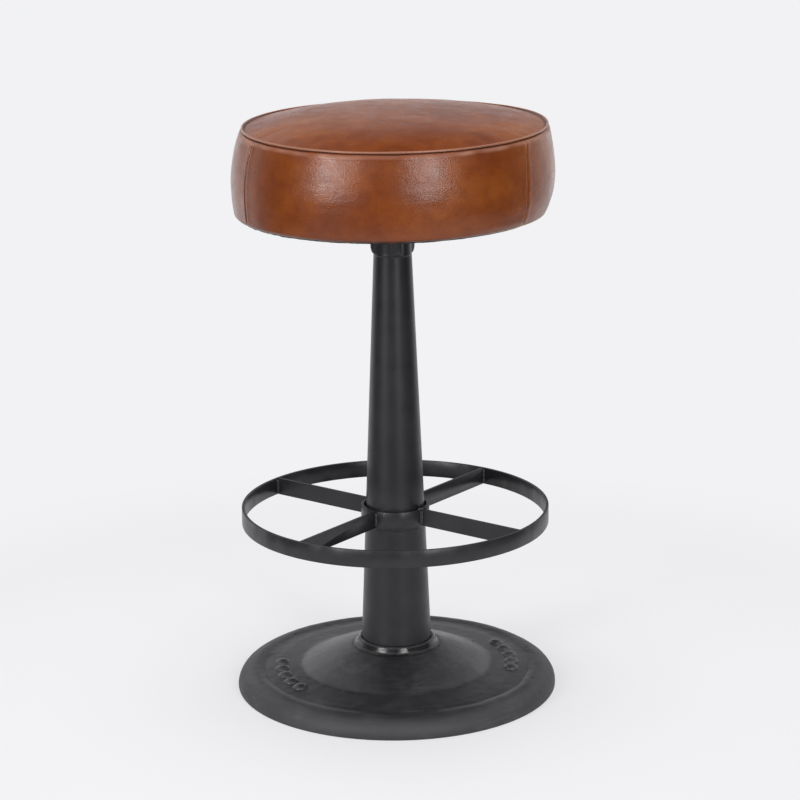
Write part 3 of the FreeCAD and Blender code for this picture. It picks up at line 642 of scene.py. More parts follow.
def knobbly_tube(path, thickness, sides=10, ripple=0.16, seed=0.0):
    """A closed tube along a path of points, thicker and thinner by turns, with round ends."""
    path = np.array(path, float)
    count = len(path)
    ahead = np.gradient(path, axis=0)
    ahead /= np.linalg.norm(ahead, axis=1)[:, None]
    helper = (0, 0, 1.0) if abs(ahead[0][2]) < 0.8 else (1.0, 0, 0)
    side = np.cross(ahead, helper)
    side /= np.linalg.norm(side, axis=1)[:, None]
    other = np.cross(ahead, side)
    ends = np.minimum(np.arange(count), np.arange(count)[::-1]) / 2.0
    taper = np.sqrt(np.clip(ends * (2 - ends), 0.02, 1)) * (ends < 1) + (ends >= 1)
    waves = 1 + ripple * np.sin(np.arange(count) * 1.9 + seed) + ripple * rough_field(path, 320, seed)
    reach = thickness * taper * waves
    turn = even_angles(sides)[:, None]
    ring = np.cos(turn) * side[:, None, :] + np.sin(turn) * other[:, None, :]
    points = (path[:, None, :] + reach[:, None, None] * ring).reshape(-1, 3)
    caps = [[*range(sides)], [*range(count * sides - 1, (count - 1) * sides - 1, -1)]]
    return points, grid_faces(count, sides) + caps


def footrest_welds():
    parts = []
    levels = np.linspace(HOOP_LOW + 0.9 * MM, HOOP_HIGH - 0.9 * MM, 22)
    for spoke, angle in enumerate(SPOKE_ANGLES):
        across = on_ring(BAR_HALF + 0.3 * MM, angle + math.pi / 2)
        for reach in (COLLAR_RADIUS + 0.1 * MM, HOOP_INNER - 0.2 * MM):
            for side in (-1, 1):
                path = [on_ring(reach, angle, level) + side * across for level in levels]
                parts.append(knobbly_tube(path, 2.8 * MM, ripple=0.09, seed=3.0 * spoke + side + 40 * reach))
    drop = [on_ring(COLLAR_RADIUS + reach * MM, SPOKE_ANGLES[3] + math.radians(turn), HOOP_HIGH + 0.2 * MM)
            for turn, reach in DROP]
    parts.append(knobbly_tube(smooth_line(drop, 4), 2.2 * MM, ripple=0.30, seed=1.0))
    return join_parts(parts)


footrest_beads = add_piece("footrest_beads", footrest_welds(), POWDER_COAT, "pedestal")
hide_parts("footrest_weld_beads")
print("footrest welds:", 4 * len(SPOKE_ANGLES))

# %% [markdown]
# The collar is welded to the column from below, with a bead that the paint has pooled on.

# %% Weld of the collar
collar_corner = (column_radius(HOOP_LOW) - 0.4 * MM, HOOP_LOW)
collar_outline = rounded_section(collar_corner[0], collar_corner[0] + 3.0 * MM,
                                 HOOP_LOW - 2.8 * MM, HOOP_LOW + 0.6 * MM, 1.2 * MM)
collar_bead = add_piece("collar_bead", rippled_ring(collar_outline, collar_corner, 160, 0.20, 60, 6.1),
                        POOLED_PAINT, "pedestal")
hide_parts("collar_weld_bead")
print(f"collar bead round a column of radius {collar_corner[0] / MM:.1f} mm")

# %% [markdown]
# The square post is welded to the top of the column, and its overhanging corners were turned
# round at their lower ends. The weld fills the flats between the corners and was dressed flush
# with the column before painting. Both are lofts: closed rings, one above the other.

# %% Square post and its weld
POST_HALF = 19.05 * MM
POST_CORNER = 5.0 * MM
POST_TURN = math.radians(-30)
POST_TOP = high_of("seat_post").z
POST_END = [(-2.0, 20.6), (-1.2, 21.2), (-0.4, 22.4), (0.8, 23.2), (3.0, 23.9), (6.0, 24.6), (9.0, 25.2),
            (10.0, 40.0)]
WELD_LINE = [(-3.0, 0.05), (-1.6, 0.14), (-0.4, 0.16), (1.0, 0.05), (2.0, -0.2)]
post_angles = even_angles(192)


def square_radius():
    """Distance from the axis to the outline of a square post with round corners."""
    a = np.abs((post_angles - POST_TURN + math.pi / 4) % (math.pi / 2) - math.pi / 4)
    middle = POST_HALF - POST_CORNER
    diagonal = math.hypot(middle, middle)
    across = diagonal * np.sin(a - math.pi / 4)
    rounded = diagonal * np.cos(a - math.pi / 4) + np.sqrt(np.maximum(POST_CORNER ** 2 - across ** 2, 0))
    return np.where(POST_HALF * np.tan(a) > middle, rounded, POST_HALF / np.cos(a))


def loft(rings):
    """Points and faces of closed rings given as (radius at each angle, level)."""
    radii, levels = (np.array(values) for values in zip(*rings))
    points = grid_about_axis(radii, levels[:, None], post_angles).reshape(-1, 3)
    count = len(post_angles)
    caps = [[*range(count - 1, -1, -1)], [*range((len(rings) - 1) * count, len(rings) * count)]]
    return points, grid_faces(len(rings), count) + caps


outline = np.maximum(square_radius(), column_radius(COLUMN_TOP_LEVEL))
rings = [(np.minimum(outline, r * MM), COLUMN_TOP_LEVEL + z * MM) for z, r in POST_END]
rings += [(outline, POST_TOP - 0.5 * MM), (outline - 0.5 * MM, POST_TOP)]
post = add_piece("turned_seat_post", loft(rings), POWDER_COAT, "pedestal")
post.data.set_sharp_from_angle(angle=math.radians(38))
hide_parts("seat_post")

lump = 1 + 0.35 * rough_field([on_ring(1, angle) for angle in post_angles], 2.5, 2.0)
rings = [(column_radius(COLUMN_TOP_LEVEL + min(rise, 0) * MM) + fat * MM * lump, COLUMN_TOP_LEVEL + rise * MM)
         for rise, fat in WELD_LINE]
post_bead = add_piece("post_bead", loft(rings), POWDER_COAT, "pedestal")
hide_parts("post_weld_bead")
print("column top radius", round(COLUMN_TOP_RADIUS / MM, 2))

# %% [markdown]
# The parts whose shape is already right stay: the column, the bars, the plates and the
# hardware. They only need their finish and slightly rounded edges. A Weld modifier first joins
# the corners that the file keeps apart, then a Bevel rounds the sharp edges by half a
# millimetre, as coating and tumbling do.

# %% Finish of the parts that stay
def dress(names, material, rounding):
    for name in names:
        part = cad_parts[name]
        for socket in part.material_slots:
            socket.material = material
        if rounding:
            joined = part.modifiers.new("joined_corners", "WELD")
            joined.merge_threshold = 0.002 * MM
            soften(part, rounding, 2, limit_method="ANGLE", angle_limit=math.radians(35))


SPOKES = [f"footrest_spoke_{place}" for place in ("back_right", "back_left", "front_left", "front_right")]
dress(["column", "column_foot_plate"], POWDER_COAT, None)
dress(["footrest_ring", *SPOKES], POWDER_COAT, 0.4 * MM)
dress(["footrest_collar"], POWDER_COAT, 0.3 * MM)
dress(["mounting_plate"], POWDER_COAT, 0.6 * MM)
dress(["base_bolts", "base_washers", "mounting_bolts", "mounting_nuts"], ZINC, 0.25 * MM)
dress(["swivel_lower_plate", "swivel_upper_plate"], ZINC, 0.35 * MM)
dress(["swivel_ball_cage", "swivel_pivot_rivet", "seat_screws", "seat_tee_nuts"], ZINC, 0.2 * MM)
dress(["swivel_balls"], POLISHED_STEEL, None)
dress(["seat_board"], PLYWOOD, 0.5 * MM)
print(len(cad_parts), "nodes in the frame")

# %% [markdown]
# The cushion. On the real seat, a round top panel and three side panels of leather are sewn
# together, pulled over foam and stapled under the board. Three things make it look sewn: the
# raised seam round the top, with a groove inside it, the three upright seams, and the slight
# swell between them. Its outline runs from the board over the hem, up the curved side, over the
# seam and in to the crown. Each row of the mesh has a mark: 0 to 1 is the hem, 1 to 2 the side
# and 2 to 3 the top, where the crown begins inside the seam's lip.

# %% Outline of the cushion
SIDE_ARC = 136 * MM
WIDEST_LEVEL = HEM_LEVEL + 43.4 * MM


def side_radius(level):
    """The side is an arc, widest a little below its middle."""
    return SEAT_RADIUS - SIDE_ARC + math.sqrt(SIDE_ARC ** 2 - (level - WIDEST_LEVEL) ** 2)


CROWN_MARK = 2.02
HEM_INNER = 145 * MM
SEAM_RADIUS = side_radius(SEAM_LEVEL)
CORNER_TOP = HEM_LEVEL + 5.4 * MM
HEM_LINE = [(11.6, 0.1), (8.6, 0.7), (6.4, 2.6)]
LIP_FOOT = SEAM_LEVEL - 9.0 * MM
LIP_LINE = [(3.15, -7.6), (2.65, -6.3), (2.05, -5.1), (1.35, -4.15), (0.5, -3.4), (-0.4, -2.95), (-1.25, -2.75),
            (-1.5, -2.5), (-1.0, -2.2), (-0.2, -1.95), (0.35, -1.45), (0.45, -0.8), (0.15, -0.15), (-0.5, 0.25),
            (-1.3, 0.25), (-1.9, -0.25), (-2.25, -1.1), (-2.6, -1.75), (-3.0, -1.9)]
DOME_RADIUS = SEAM_RADIUS - 3.0 * MM
DOME_FOOT = SEAM_LEVEL - 2.3 * MM


def dome_level(radius):
    """The crown: steep beside the groove, almost flat in the middle."""
    share = max(0.0, 1 - (radius / DOME_RADIUS) ** 2.5)
    return DOME_FOOT + (CROWN_LEVEL - DOME_FOOT) * share ** 0.64


def cushion_outline():
    """(radius, level, mark) of every row, from the middle of the board to the crown."""
    rows = [(radius, BOARD_HIGH, 0.0) for radius in (0.0, 0.08, BOARD_RADIUS - 0.01, BOARD_RADIUS)]
    rows += [(radius, BOARD_LOW, 0.0) for radius in (BOARD_RADIUS, HEM_INNER + 0.01, HEM_INNER)]
    corner = smooth_line([(HEM_INNER, HEM_LEVEL), (HEM_INNER + 9 * MM, HEM_LEVEL)]
                         + [(SEAT_RADIUS - r * MM, HEM_LEVEL + z * MM) for r, z in HEM_LINE]
                         + [(side_radius(CORNER_TOP), CORNER_TOP)], 3)
    rows += [(r, z, mark) for (r, z), mark in zip(corner, np.linspace(0, 1, len(corner)))]
    for share in np.linspace(0, 1, 47)[1:]:
        level = CORNER_TOP + (LIP_FOOT - CORNER_TOP) * share
        rows.append((side_radius(level), level, 1 + share))
    lip = smooth_line([(side_radius(LIP_FOOT), LIP_FOOT)]
                      + [(SEAM_RADIUS + r * MM, SEAM_LEVEL + z * MM) for r, z in LIP_LINE], 3)
    rows += [(r, z, 2.0 + 0.02 * k / len(lip)) for k, (r, z) in enumerate(lip[1:])]
    for share in np.linspace(0, 1, 44)[1:]:
        radius = lip[-1][0] * math.cos(share * math.pi / 2) if share < 1 else 0.0
        rows.append((radius, dome_level(radius), CROWN_MARK + 0.98 * share))
    return np.array(rows)


cushion_rows = cushion_outline()
print(len(cushion_rows), "rows, seam radius", round(SEAM_RADIUS / MM, 1))

# %% [markdown]
# The side panels meet in three upright seams, at the left, at the right and behind. The
# simulation, the relief and the painted shade in the folds all need to know how far a point lies
# from its nearest seam, measured along the skin.

# %% Upright seams
SIDE_SEAMS = [math.radians(a) for a in (206.5, 325.0, 86.5)]


def seam_bow(seam, level):
    """The right seam bows forwards at half height."""
    share = np.clip((level - HEM_LEVEL) / (SEAM_LEVEL - HEM_LEVEL), 0, 1)
    return math.radians(1.8) * np.sin(math.pi * share) * (seam == SIDE_SEAMS[1])


def seam_offset(angles, radius, level=0.0):
    """Distance along the skin to the nearest upright seam, negative on the folded side."""
    gaps = np.array([wrapped(angles - seam) + seam_bow(seam, level) for seam in SIDE_SEAMS])
    nearest = np.abs(gaps).argmin(axis=0)
    return np.take_along_axis(gaps, nearest[None], axis=0)[0] * radius


print("upright seams:", len(SIDE_SEAMS))

# %% [markdown]
# The swell comes from a small cloth simulation. The leather is a coarse skin that is held at
# the hem, at the top seam and at the three upright seams, and air pressure blows it up while it
# is a little too large for its place, so it forms the shallow pulls of real upholstery. Only
# the movement is kept, capped at 3 mm, and it is carried over to the fine mesh.

# %% Cloth simulation of the skin
SWELL_CAP = 3.0 * MM
HELD_WIDTH = 4 * MM
BOARD_ROWS = 7
SIMULATION_FRAMES = 20
CLOTH = {"quality": 7, "mass": 0.4, "tension_stiffness": 18, "compression_stiffness": 18,
         "shear_stiffness": 12, "bending_stiffness": 1.2, "use_pressure": True,
         "uniform_pressure_force": 3, "shrink_min": 0.0005, "vertex_group_mass": "held"}


def simulate_swell(columns=216):
    """Simulates the skin and returns marks, angles and the movement at each."""
    marks = np.concatenate([np.linspace(0.2, 1, 3)[:-1], np.linspace(1, 2, 18)[:-1],
                            np.linspace(CROWN_MARK, 3, 28)])
    outer = cushion_rows[BOARD_ROWS:]
    radius, level = (np.interp(marks, outer[:, 2], outer[:, k])[:, None] for k in (0, 1))
    angles = even_angles(columns)
    points = grid_about_axis(radius, level, angles)
    wander = rough_field(points.reshape(-1, 3), 18, 7.0).reshape(len(marks), columns)
    start = (points + grid_about_axis(wander * 0.35 * MM, 0, angles)).reshape(-1, 3)
    middle = (len(marks) - 1) * columns
    last = middle - columns
    faces = grid_faces(len(marks) - 1, columns)
    faces += [(last + k, last + (k + 1) % columns, middle) for k in range(columns)]
    faces.append(tuple(range(columns - 1, -1, -1)))
    mesh = bpy.data.meshes.new("skin")
    mesh.from_pydata([tuple(p) for p in start[:middle + 1]], [], faces)
    skin = show("skin", mesh)
    at_seam = np.abs(seam_offset(angles[None], radius, level)) < HELD_WIDTH
    at_end = (marks < 0.9) | (np.abs(marks - CROWN_MARK) < 0.03)
    held = at_end[:, None] | at_seam & (marks < 2.01)[:, None]
    skin.vertex_groups.new(name="held").add(np.flatnonzero(held[:-1]).tolist(), 1.0, "REPLACE")
    cloth = skin.modifiers.new("cloth", "CLOTH")
    for key, value in CLOTH.items():
        setattr(cloth.settings, key, value)
    cloth.settings.effector_weights.gravity = 0
    for number in range(1, SIMULATION_FRAMES + 1):
        bpy.context.scene.frame_set(number)
    moved = coords(skin.evaluated_get(bpy.context.evaluated_depsgraph_get()).to_mesh())
    bpy.context.scene.frame_set(1)
    bpy.data.objects.remove(skin, do_unlink=True)
    shift = np.vstack([moved, np.repeat(moved[-1:], columns - 1, axis=0)]) - start
    size = np.linalg.norm(shift, axis=1)
    print(f"movement before the cap: {size.max() / MM:.2f} mm at most, {size.mean() / MM:.2f} mm on average")
    shift *= (np.minimum(size, SWELL_CAP) / np.maximum(size, 1e-9))[:, None]
    return marks, angles, shift.reshape(len(marks), columns, 3)


swell = simulate_swell()
print("simulated" if swell else "left out for the quick look")

# %% [markdown]
# Now the fine mesh. Its columns crowd together at the upright seams, where the leather folds.
# The coarse skin's movement is carried over to them and evened out, most of all on the crown,
# where leather pulled over foam shows no gathers.

# %% Movement of the fine mesh
def cushion_angles():
    """Even columns, with extra ones close to each upright seam."""
    even = even_angles(384)
    near = [seam + step * 0.6 * MM / SEAT_RADIUS for seam in SIDE_SEAMS for step in range(-13, 14)]
    apart = even[np.abs(seam_offset(even, SEAT_RADIUS)) > 8.0 * MM]
    return np.array(sorted([*apart, *np.mod(near, 2 * math.pi)]))


def evened(field):
    """Each column averaged with its neighbours."""
    return 0.25 * np.roll(field, 1, 1) + 0.5 * field + 0.25 * np.roll(field, -1, 1)


def carried(swell, rows, angles):
    """The simulated movement at each row and column of the fine mesh."""
    marks, coarse_angles, shift = swell
    coarse_angles = np.append(coarse_angles, 2 * math.pi)
    shift = np.concatenate([shift, shift[:, :1]], axis=1)
    across = np.array([[np.interp(angles, coarse_angles, row[:, k]) for k in range(3)] for row in shift])
    field = np.array([[np.interp(rows[:, 2], marks, across[:, k, c]) for k in range(3)]
                      for c in range(len(angles))]).transpose(2, 0, 1)
    for _ in range(2):
        field = evened(field)
        field[1:-1] = 0.25 * field[:-2] + 0.5 * field[1:-1] + 0.25 * field[2:]
    even = field
    for _ in range(160):
        even = evened(even)
    field = np.where((rows[:, 2] > 2.015)[:, None, None], 0.7 * even + 0.3 * field, field)
    field[rows[:, 2] < 0.15] = 0
    return field

# %% [markdown]
# The relief comes on top. Each upright seam is a narrow groove with a soft shoulder on each
# side and small puckers across it. The lip of the top seam varies in height, the hem has
# pleats, and the whole skin wanders by a few tenths of a millimetre, as foam does.

# %% Fine mesh of the cushion
def crown_tilt(angles):
    """The edge of the crown is a little higher at the back right than at the front left."""
    return 2.1 * MM * np.cos(angles - math.radians(46))


def seam_tilt(angles):
    """The top seam follows the crown, and lies lower behind."""
    return crown_tilt(angles) - 2.6 * MM * bell(wrapped(angles - math.radians(88)), math.radians(46))


def uneven_lift(mark, points, angles):
    """The tilt, whole at the seam and the crown's edge, fading towards hem and middle."""
    on_side = np.clip(mark - 1, 0, 1) ** 1.5
    on_crown = np.clip(radius_of(points) / DOME_RADIUS, 0, 1) ** 3
    return np.where(mark > CROWN_MARK, on_crown * crown_tilt(angles), on_side * seam_tilt(angles))


def make_cushion():
    angles = cushion_angles()
    ring = np.array([on_ring(1, angle) for angle in angles])
    points = grid_about_axis(cushion_rows[:, :1], cushion_rows[:, 1:2], angles)
    if swell:
        points += carried(swell, cushion_rows, angles)
    level, mark = (np.repeat(cushion_rows[:, k:k + 1], len(angles), axis=1) for k in (1, 2))
    flat = points.reshape(-1, 3)
    wander = rough_field(flat, 14, 1.0) * 0.45 * MM + rough_field(flat, 45, 6.0) * 0.16 * MM
    wander += rough_field(flat * (1, 1, 4.0), 40, 9.0) * 0.10 * MM
    wander = wander.reshape(mark.shape)
    offset = seam_offset(angles[None], SEAT_RADIUS, level)
    groove = 0.40 * MM * bell(offset + 1.6 * MM, 1.3 * MM) - 0.85 * MM * bell(offset - 0.4 * MM, 0.75 * MM)
    groove += 0.25 * MM * bell(np.abs(offset) - 5.0 * MM, 3.0 * MM)
    groove *= 1 + 0.7 * bell(level - LIP_FOOT, 5 * MM)
    pucker = np.sin(level / (3.1 * MM) + 2.0 * rough_field(flat, 90, 3.0).reshape(mark.shape))
    pucker *= 0.10 * MM * bell(np.abs(offset) - 4.5 * MM, 4.0 * MM)
    on_side = np.clip((mark - 0.9) / 0.1, 0, 1) * (mark < 2.005)
    points += (on_side * (wander + groove + pucker))[..., None] * ring
    points[..., 2] += (mark > 2.01) * wander * 0.8
    lip_wave = rough_field(ring * SEAM_RADIUS, 60, 2.0) * 0.35 * MM
    points[..., 2] += (mark > 1.99) * (mark < 2.012) * lip_wave
    points[..., 2] += uneven_lift(mark, points, angles)
    pleats = np.abs(rough_field(ring * SEAT_RADIUS, 85, 5.0)) * 1.2 * MM
    points[..., 2] -= pleats * np.sin(np.clip(mark / 0.75, 0, 1) * math.pi)
    shape = (points.reshape(-1, 3), grid_faces(len(cushion_rows), len(angles)))
    piece = add_piece("seat_cushion", shape, LEATHER, "seat")
    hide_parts("seat_foam", "leather_top_panel", *[f"leather_side_panel_{n}" for n in (1, 2, 3)])
    return piece


cushion = make_cushion()
print("cushion:", len(cushion.data.polygons), "faces")

# %% [markdown]
# The folds of the seams get painted shade, and the hem is darker. The raised seam, the rounded
# edge below it and the shoulders of the upright seams get a painted highlight, a paler colour.
# That needs two values at each point of the mesh, which the leather material reads by name.

# %% Painted shade in the folds, painted highlight on the lip
def paint_values(piece):
    spot = coords(piece.data)
    angle = np.arctan2(spot[:, 1], spot[:, 0])
    above_seam = spot[:, 2] - SEAM_LEVEL - seam_tilt(angle)
    inside_seam = (SEAM_RADIUS - radius_of(spot)) / MM
    on_side = inside_seam < -0.3
    # Painted shade in the crease under the lip and in the groove inside it, stronger at the front.
    crease = bell(above_seam + 2.5 * MM, 0.42 * MM) * (inside_seam > -0.3) * (inside_seam < 2.2)
    crease *= 0.45 + 0.55 * (np.abs(wrapped(angle + math.radians(93.5))) < math.radians(60))
    in_groove = np.clip((inside_seam - 1.7) / 0.5, 0, 1) * np.clip((5.0 - inside_seam) / 1.4, 0, 1)
    in_groove *= (above_seam < -1.0 * MM) * (above_seam > -9 * MM)
    offset = seam_offset(angle, SEAT_RADIUS, spot[:, 2])
    # Painted shade in the grooves of the upright seams, and a darker band along the hem.
    upright = bell(offset - 0.4 * MM, 0.65 * MM) * on_side
    hem = bell(spot[:, 2] - HEM_LEVEL, 3.0 * MM) * 0.6
    # Painted highlight on the lip, beside the upright seams and on the rounded edge below the lip.
    on_lip = bell(inside_seam - 0.4, 1.3) * np.clip((above_seam + 2.1 * MM) / (0.5 * MM), 0, 1)
    shoulder = 0.20 * bell(offset + 1.5 * MM, 1.1 * MM) * on_side
    off_middle = np.clip(np.abs(wrapped(angle + math.radians(94))) / 0.35, 0.35, 1.0)
    patchy = np.clip(0.75 + rough_field(spot, 60, 4.0), 0, 1.2)
    edge = 0.55 * bell(above_seam + 5.4 * MM, 2.1 * MM) * patchy * off_middle
    # The first value is painted shade, the second a painted highlight.
    for name, values in (("painted_shade", in_groove + crease + 0.55 * upright + hem),
                         ("painted_highlight", 0.7 * on_lip + shoulder + edge)):
        values = np.clip(values, 0, 1)
        layer = piece.data.attributes.new(name, "FLOAT", "POINT")
        layer.data.foreach_set("value", values)
        print(name, "share", round(float(values.mean()), 3))


paint_values(cushion)

# %% [markdown]
# The thread. A lockstitch shows as short raised dashes, one behind the other, about four
# millimetres apart. They lie in the groove of the top seam and in the three upright seams.

# %% Stitches
STITCH_PITCH = 4.3 * MM


def stitch(middle, along, length, thick):
    """One dash of thread: a small tube, thicker in its middle."""
    path = [middle + along * length * k for k in np.linspace(-0.5, 0.5, 7)]
    return knobbly_tube(path, thick, sides=6, ripple=0.0)


def add_stitches():
    parts = []
    radius = SEAM_RADIUS - 0.8 * MM
    for angle in even_angles(round(2 * math.pi * radius / STITCH_PITCH)):
        middle = on_ring(radius, angle, SEAM_LEVEL - 2.55 * MM + seam_tilt(angle))
        parts.append(stitch(middle, on_ring(1, angle + math.pi / 2), 3.0 * MM, 0.32 * MM))
    for seam in SIDE_SEAMS:
        for level in np.arange(CORNER_TOP + 2 * MM, LIP_FOOT - 1 * MM, STITCH_PITCH):
            reach = side_radius(level) - 0.95 * MM
            angle = seam - seam_bow(seam, level) + 0.4 * MM / reach
            slope = (side_radius(level + MM) - side_radius(level - MM)) / (2 * MM)
            along = on_ring(slope, angle, 1.0)
            parts.append(stitch(on_ring(reach, angle, level), along / np.linalg.norm(along), 3.3 * MM, 0.42 * MM))
    print("stitches:", len(parts))
    return add_piece("seam_stitches", join_parts(parts), THREAD, "seat")


stitches = add_stitches()

# %% [markdown]
# The dust cover is a black felt cloth that hides the underside of the seat. It is folded under
# at its edge and stapled through the hem, so the edge is double and hangs unevenly between the
# staples. A little of it shows below the leather from the front.

# %% Dust cover
COVER_EDGE = high_of("dust_cover").x - 0.8 * MM
COVER_TOP = high_of("dust_cover").z
COVER_LOW = low_of("dust_cover").z


def make_dust_cover():
    top, low, edge = COVER_TOP, COVER_LOW, COVER_EDGE
    outline = np.vstack([
        [(radius, top) for radius in (0.0, 0.06, 0.12, 0.1359)],
        smooth_line([(0.1365, top - 0.1 * MM), (0.1432, low + 0.75 * MM), (0.148, low + 0.7 * MM),
                     (0.160, low + 0.7 * MM), (edge - 1.8 * MM, low + 0.7 * MM), (edge - 0.9 * MM, low),
                     (edge - 1.7 * MM, low - 0.7 * MM), (0.159, low - 0.6 * MM), (0.152, low - 0.1 * MM),
                     (0.1435, low + 0.1 * MM), (0.1358, top - 0.8 * MM)], 3),
        [(radius, top - 0.8 * MM) for radius in (0.12, 0.06, 0.0)],
    ])
    points, faces = turned(outline, 360, closed=False)
    radius = radius_of(points)
    ring = points / np.maximum(radius, 1e-6)[:, None] * edge
    ring[:, 2] = 0
    at_edge = np.clip((radius - 0.150) / 0.012, 0, 1) * (points[:, 2] < low + 0.5 * MM)
    sag = np.abs(rough_field(ring, 42, 4.0)) * 1.2 * MM + np.abs(rough_field(ring, 150, 1.0)) * 0.6 * MM
    points[:, 2] -= at_edge * sag * (0.7 - 0.5 * ring[:, 0] / edge)
    out = rough_field(ring, 60, 8.0) * 0.9 * MM * np.clip((radius - 0.155) / 0.01, 0, 1)
    points[:, :2] += ring[:, :2] / edge * out[:, None]
    cover = add_piece("felt_dust_cover", (points, faces), FELT, "seat")
    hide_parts("dust_cover")
    return cover


cover = make_dust_cover()
print("cover edge radius", round(COVER_EDGE / MM, 1))

# %% [markdown]
# The staples hold hem and cover to the board. Each is one short flat wire across the fold, set
# by hand, so they stand at slightly different angles and distances.

# %% Staples
STAPLE_COUNT = 38
STAPLE_RADIUS = 156.5 * MM


def add_staples():
    rng = np.random.default_rng(5)
    parts = []
    for step in range(STAPLE_COUNT):
        angle = 2 * math.pi * (step + rng.uniform(-0.15, 0.15)) / STAPLE_COUNT
        radius = STAPLE_RADIUS + rng.uniform(-1, 1) * MM
        along = on_ring(1, angle + rng.uniform(-0.35, 0.35) + math.pi / 2)
        middle = on_ring(radius, angle, COVER_LOW - 0.75 * MM)
        reach = np.linspace(-5, 5, 9) * MM
        path = middle + along * reach[:, None]
        path[:, 2] += (np.abs(reach) > 4.5 * MM) * 0.8 * MM
        parts.append(knobbly_tube(path, 0.45 * MM, 6, 0.0))
    return add_piece("cover_staples", join_parts(parts), ZINC, "seat")


staples = add_staples()
print("staples:", STAPLE_COUNT)

# %% [markdown]
# The cushion is not quite straight: the foam was pulled to the right as the skin went on, so it
# leans that way towards its top, it is slimmer there, and its hem is higher at the right. All
# that is sewn or stapled to it leans along.

# %% Lean of the cushion
LEAN_LEVELS = [0, 8, 25, 43, 61, 79, 96]
LEAN_SHIFT = [-2.2, -1.0, 0.8, 1.5, 2.1, 2.5, 3.6]
LEAN_SLIM = [-0.4, 0.0, -0.3, -0.6, -1.2, -1.0, -0.4]
HEM_TILT = 1.2 * MM


def lean(piece):
    spot = coords(piece.data)
    level = (spot[:, 2] - HEM_LEVEL) / MM
    radius = radius_of(spot)
    outer = np.clip((radius - 0.10) / 0.04, 0, 1)
    spot[:, 2] += HEM_TILT * spot[:, 0] / SEAT_RADIUS * np.clip(1 - level / 35, 0, 1) * outer
    scale = 1 + np.interp(level, LEAN_LEVELS, LEAN_SLIM) * MM * outer / np.maximum(radius, 1e-6)
    spot[:, :2] *= scale[:, None]
    spot[:, 0] += np.interp(level, LEAN_LEVELS, LEAN_SHIFT) * MM * outer
    piece.data.vertices.foreach_set("co", spot.ravel())
    piece.data.update()


for piece in (cushion, stitches, cover, staples):
    lean(piece)
print("leaning:", max(LEAN_SHIFT), "mm at the top seam")

# %% [markdown]
# The floor is a sheet of pale studio paper. Near the stool, for the camera and for reflections,
# it is about half a plain lit surface, so it keeps a faint shadow, and half a glow a little
# brighter than the backdrop, a painted light that lifts the floor round the stool. Further off,
# for the camera and for reflections, it fades into one even tone.

# %% Floor
PAPER = (0.860, 0.856, 0.876, 1)
BACKDROP = (0.887, 0.887, 0.905, 1)
FLOOR_CORNERS = [(-0.95, -0.95, 0), (0.95, -0.95, 0), (0.95, 3.0, 0), (-0.95, 3.0, 0)]


def make_floor():
    mesh = bpy.data.meshes.new("floor")
    mesh.from_pydata(FLOOR_CORNERS, [], [(0, 1, 2, 3)])
    floor = show("floor", mesh)
    material, tree, shader = new_material("studio_paper")
    tree.nodes.remove(shader)
    lit = add_node(tree, "ShaderNodeBsdfDiffuse", {"Color": PAPER}).outputs["BSDF"]
    far = length_of(tree, place_of(tree))
    # Painted light: near the stool the glow is a little stronger than far off.
    strength = between(tree, far, 0.20, 0.60, 1.13, 1.0)
    even = add_node(tree, "ShaderNodeEmission", {"Color": BACKDROP, "Strength": strength}).outputs["Emission"]
    share = scaled(tree, between(tree, far, 0.20, 0.85, 0.52, 1.0), seen_directly(tree))
    blend = add_node(tree, "ShaderNodeMixShader", {"Fac": share, 1: lit, 2: even})
    tree.links.new(blend.outputs["Shader"], tree.nodes["Material Output"].inputs["Surface"])
    mesh.materials.append(material)


def seen_directly(tree):
    """One for camera, glossy and transmission rays, and none for the rest."""
    path = add_node(tree, "ShaderNodeLightPath").outputs
    some = sums(tree, path["Is Camera Ray"], path["Is Glossy Ray"], "MAXIMUM")
    return sums(tree, some, path["Is Transmission Ray"], "MAXIMUM")


make_floor()
print("floor from", FLOOR_CORNERS[0], "to", FLOOR_CORNERS[2])

# %% [markdown]
# The light is plain studio light: two tall soft boxes in front, left and right, whose
# reflections stand as soft upright bands on the column and on the leather, and one overhead.

# %% Soft boxes
def soft_box(name, place, target, width, height, radiance, mirrored=True):
    """An area lamp that shines a given radiance towards a target, and may show in gloss."""
    lamp = bpy.data.lights.new(name, "AREA")
    lamp.shape = "RECTANGLE"
    lamp.size = width
    lamp.size_y = height
    lamp.energy = radiance * math.pi * width * height
    box = show(name, lamp)
    box.location = place
    box.rotation_euler = (Vector(target) - Vector(place)).to_track_quat("-Z", "Y").to_euler()
    box.visible_camera = False
    box.visible_glossy = mirrored


soft_box("left_box", on_ring(2.4, math.radians(-135), 1.22), (0, 0, 0.65), 0.60, 1.3, 9.8)
soft_box("right_box", on_ring(2.4, math.radians(-66), 1.16), (0, 0, 0.65), 0.60, 1.4, 9.4)
soft_box("top_box", (0.0, 0.2, 2.5), (0, 0, 0.3), 1.2, 1.2, 5.2, mirrored=False)
print(len(bpy.data.lights), "lamps")

# %% [markdown]
# The room itself fills the shadows. It is dim in front, which keeps the leather's colour deep,
# and a low pale backdrop runs round behind the stool, which gives the sheen on the seat's top
# and sides and on the base. Camera rays see one even tone instead.

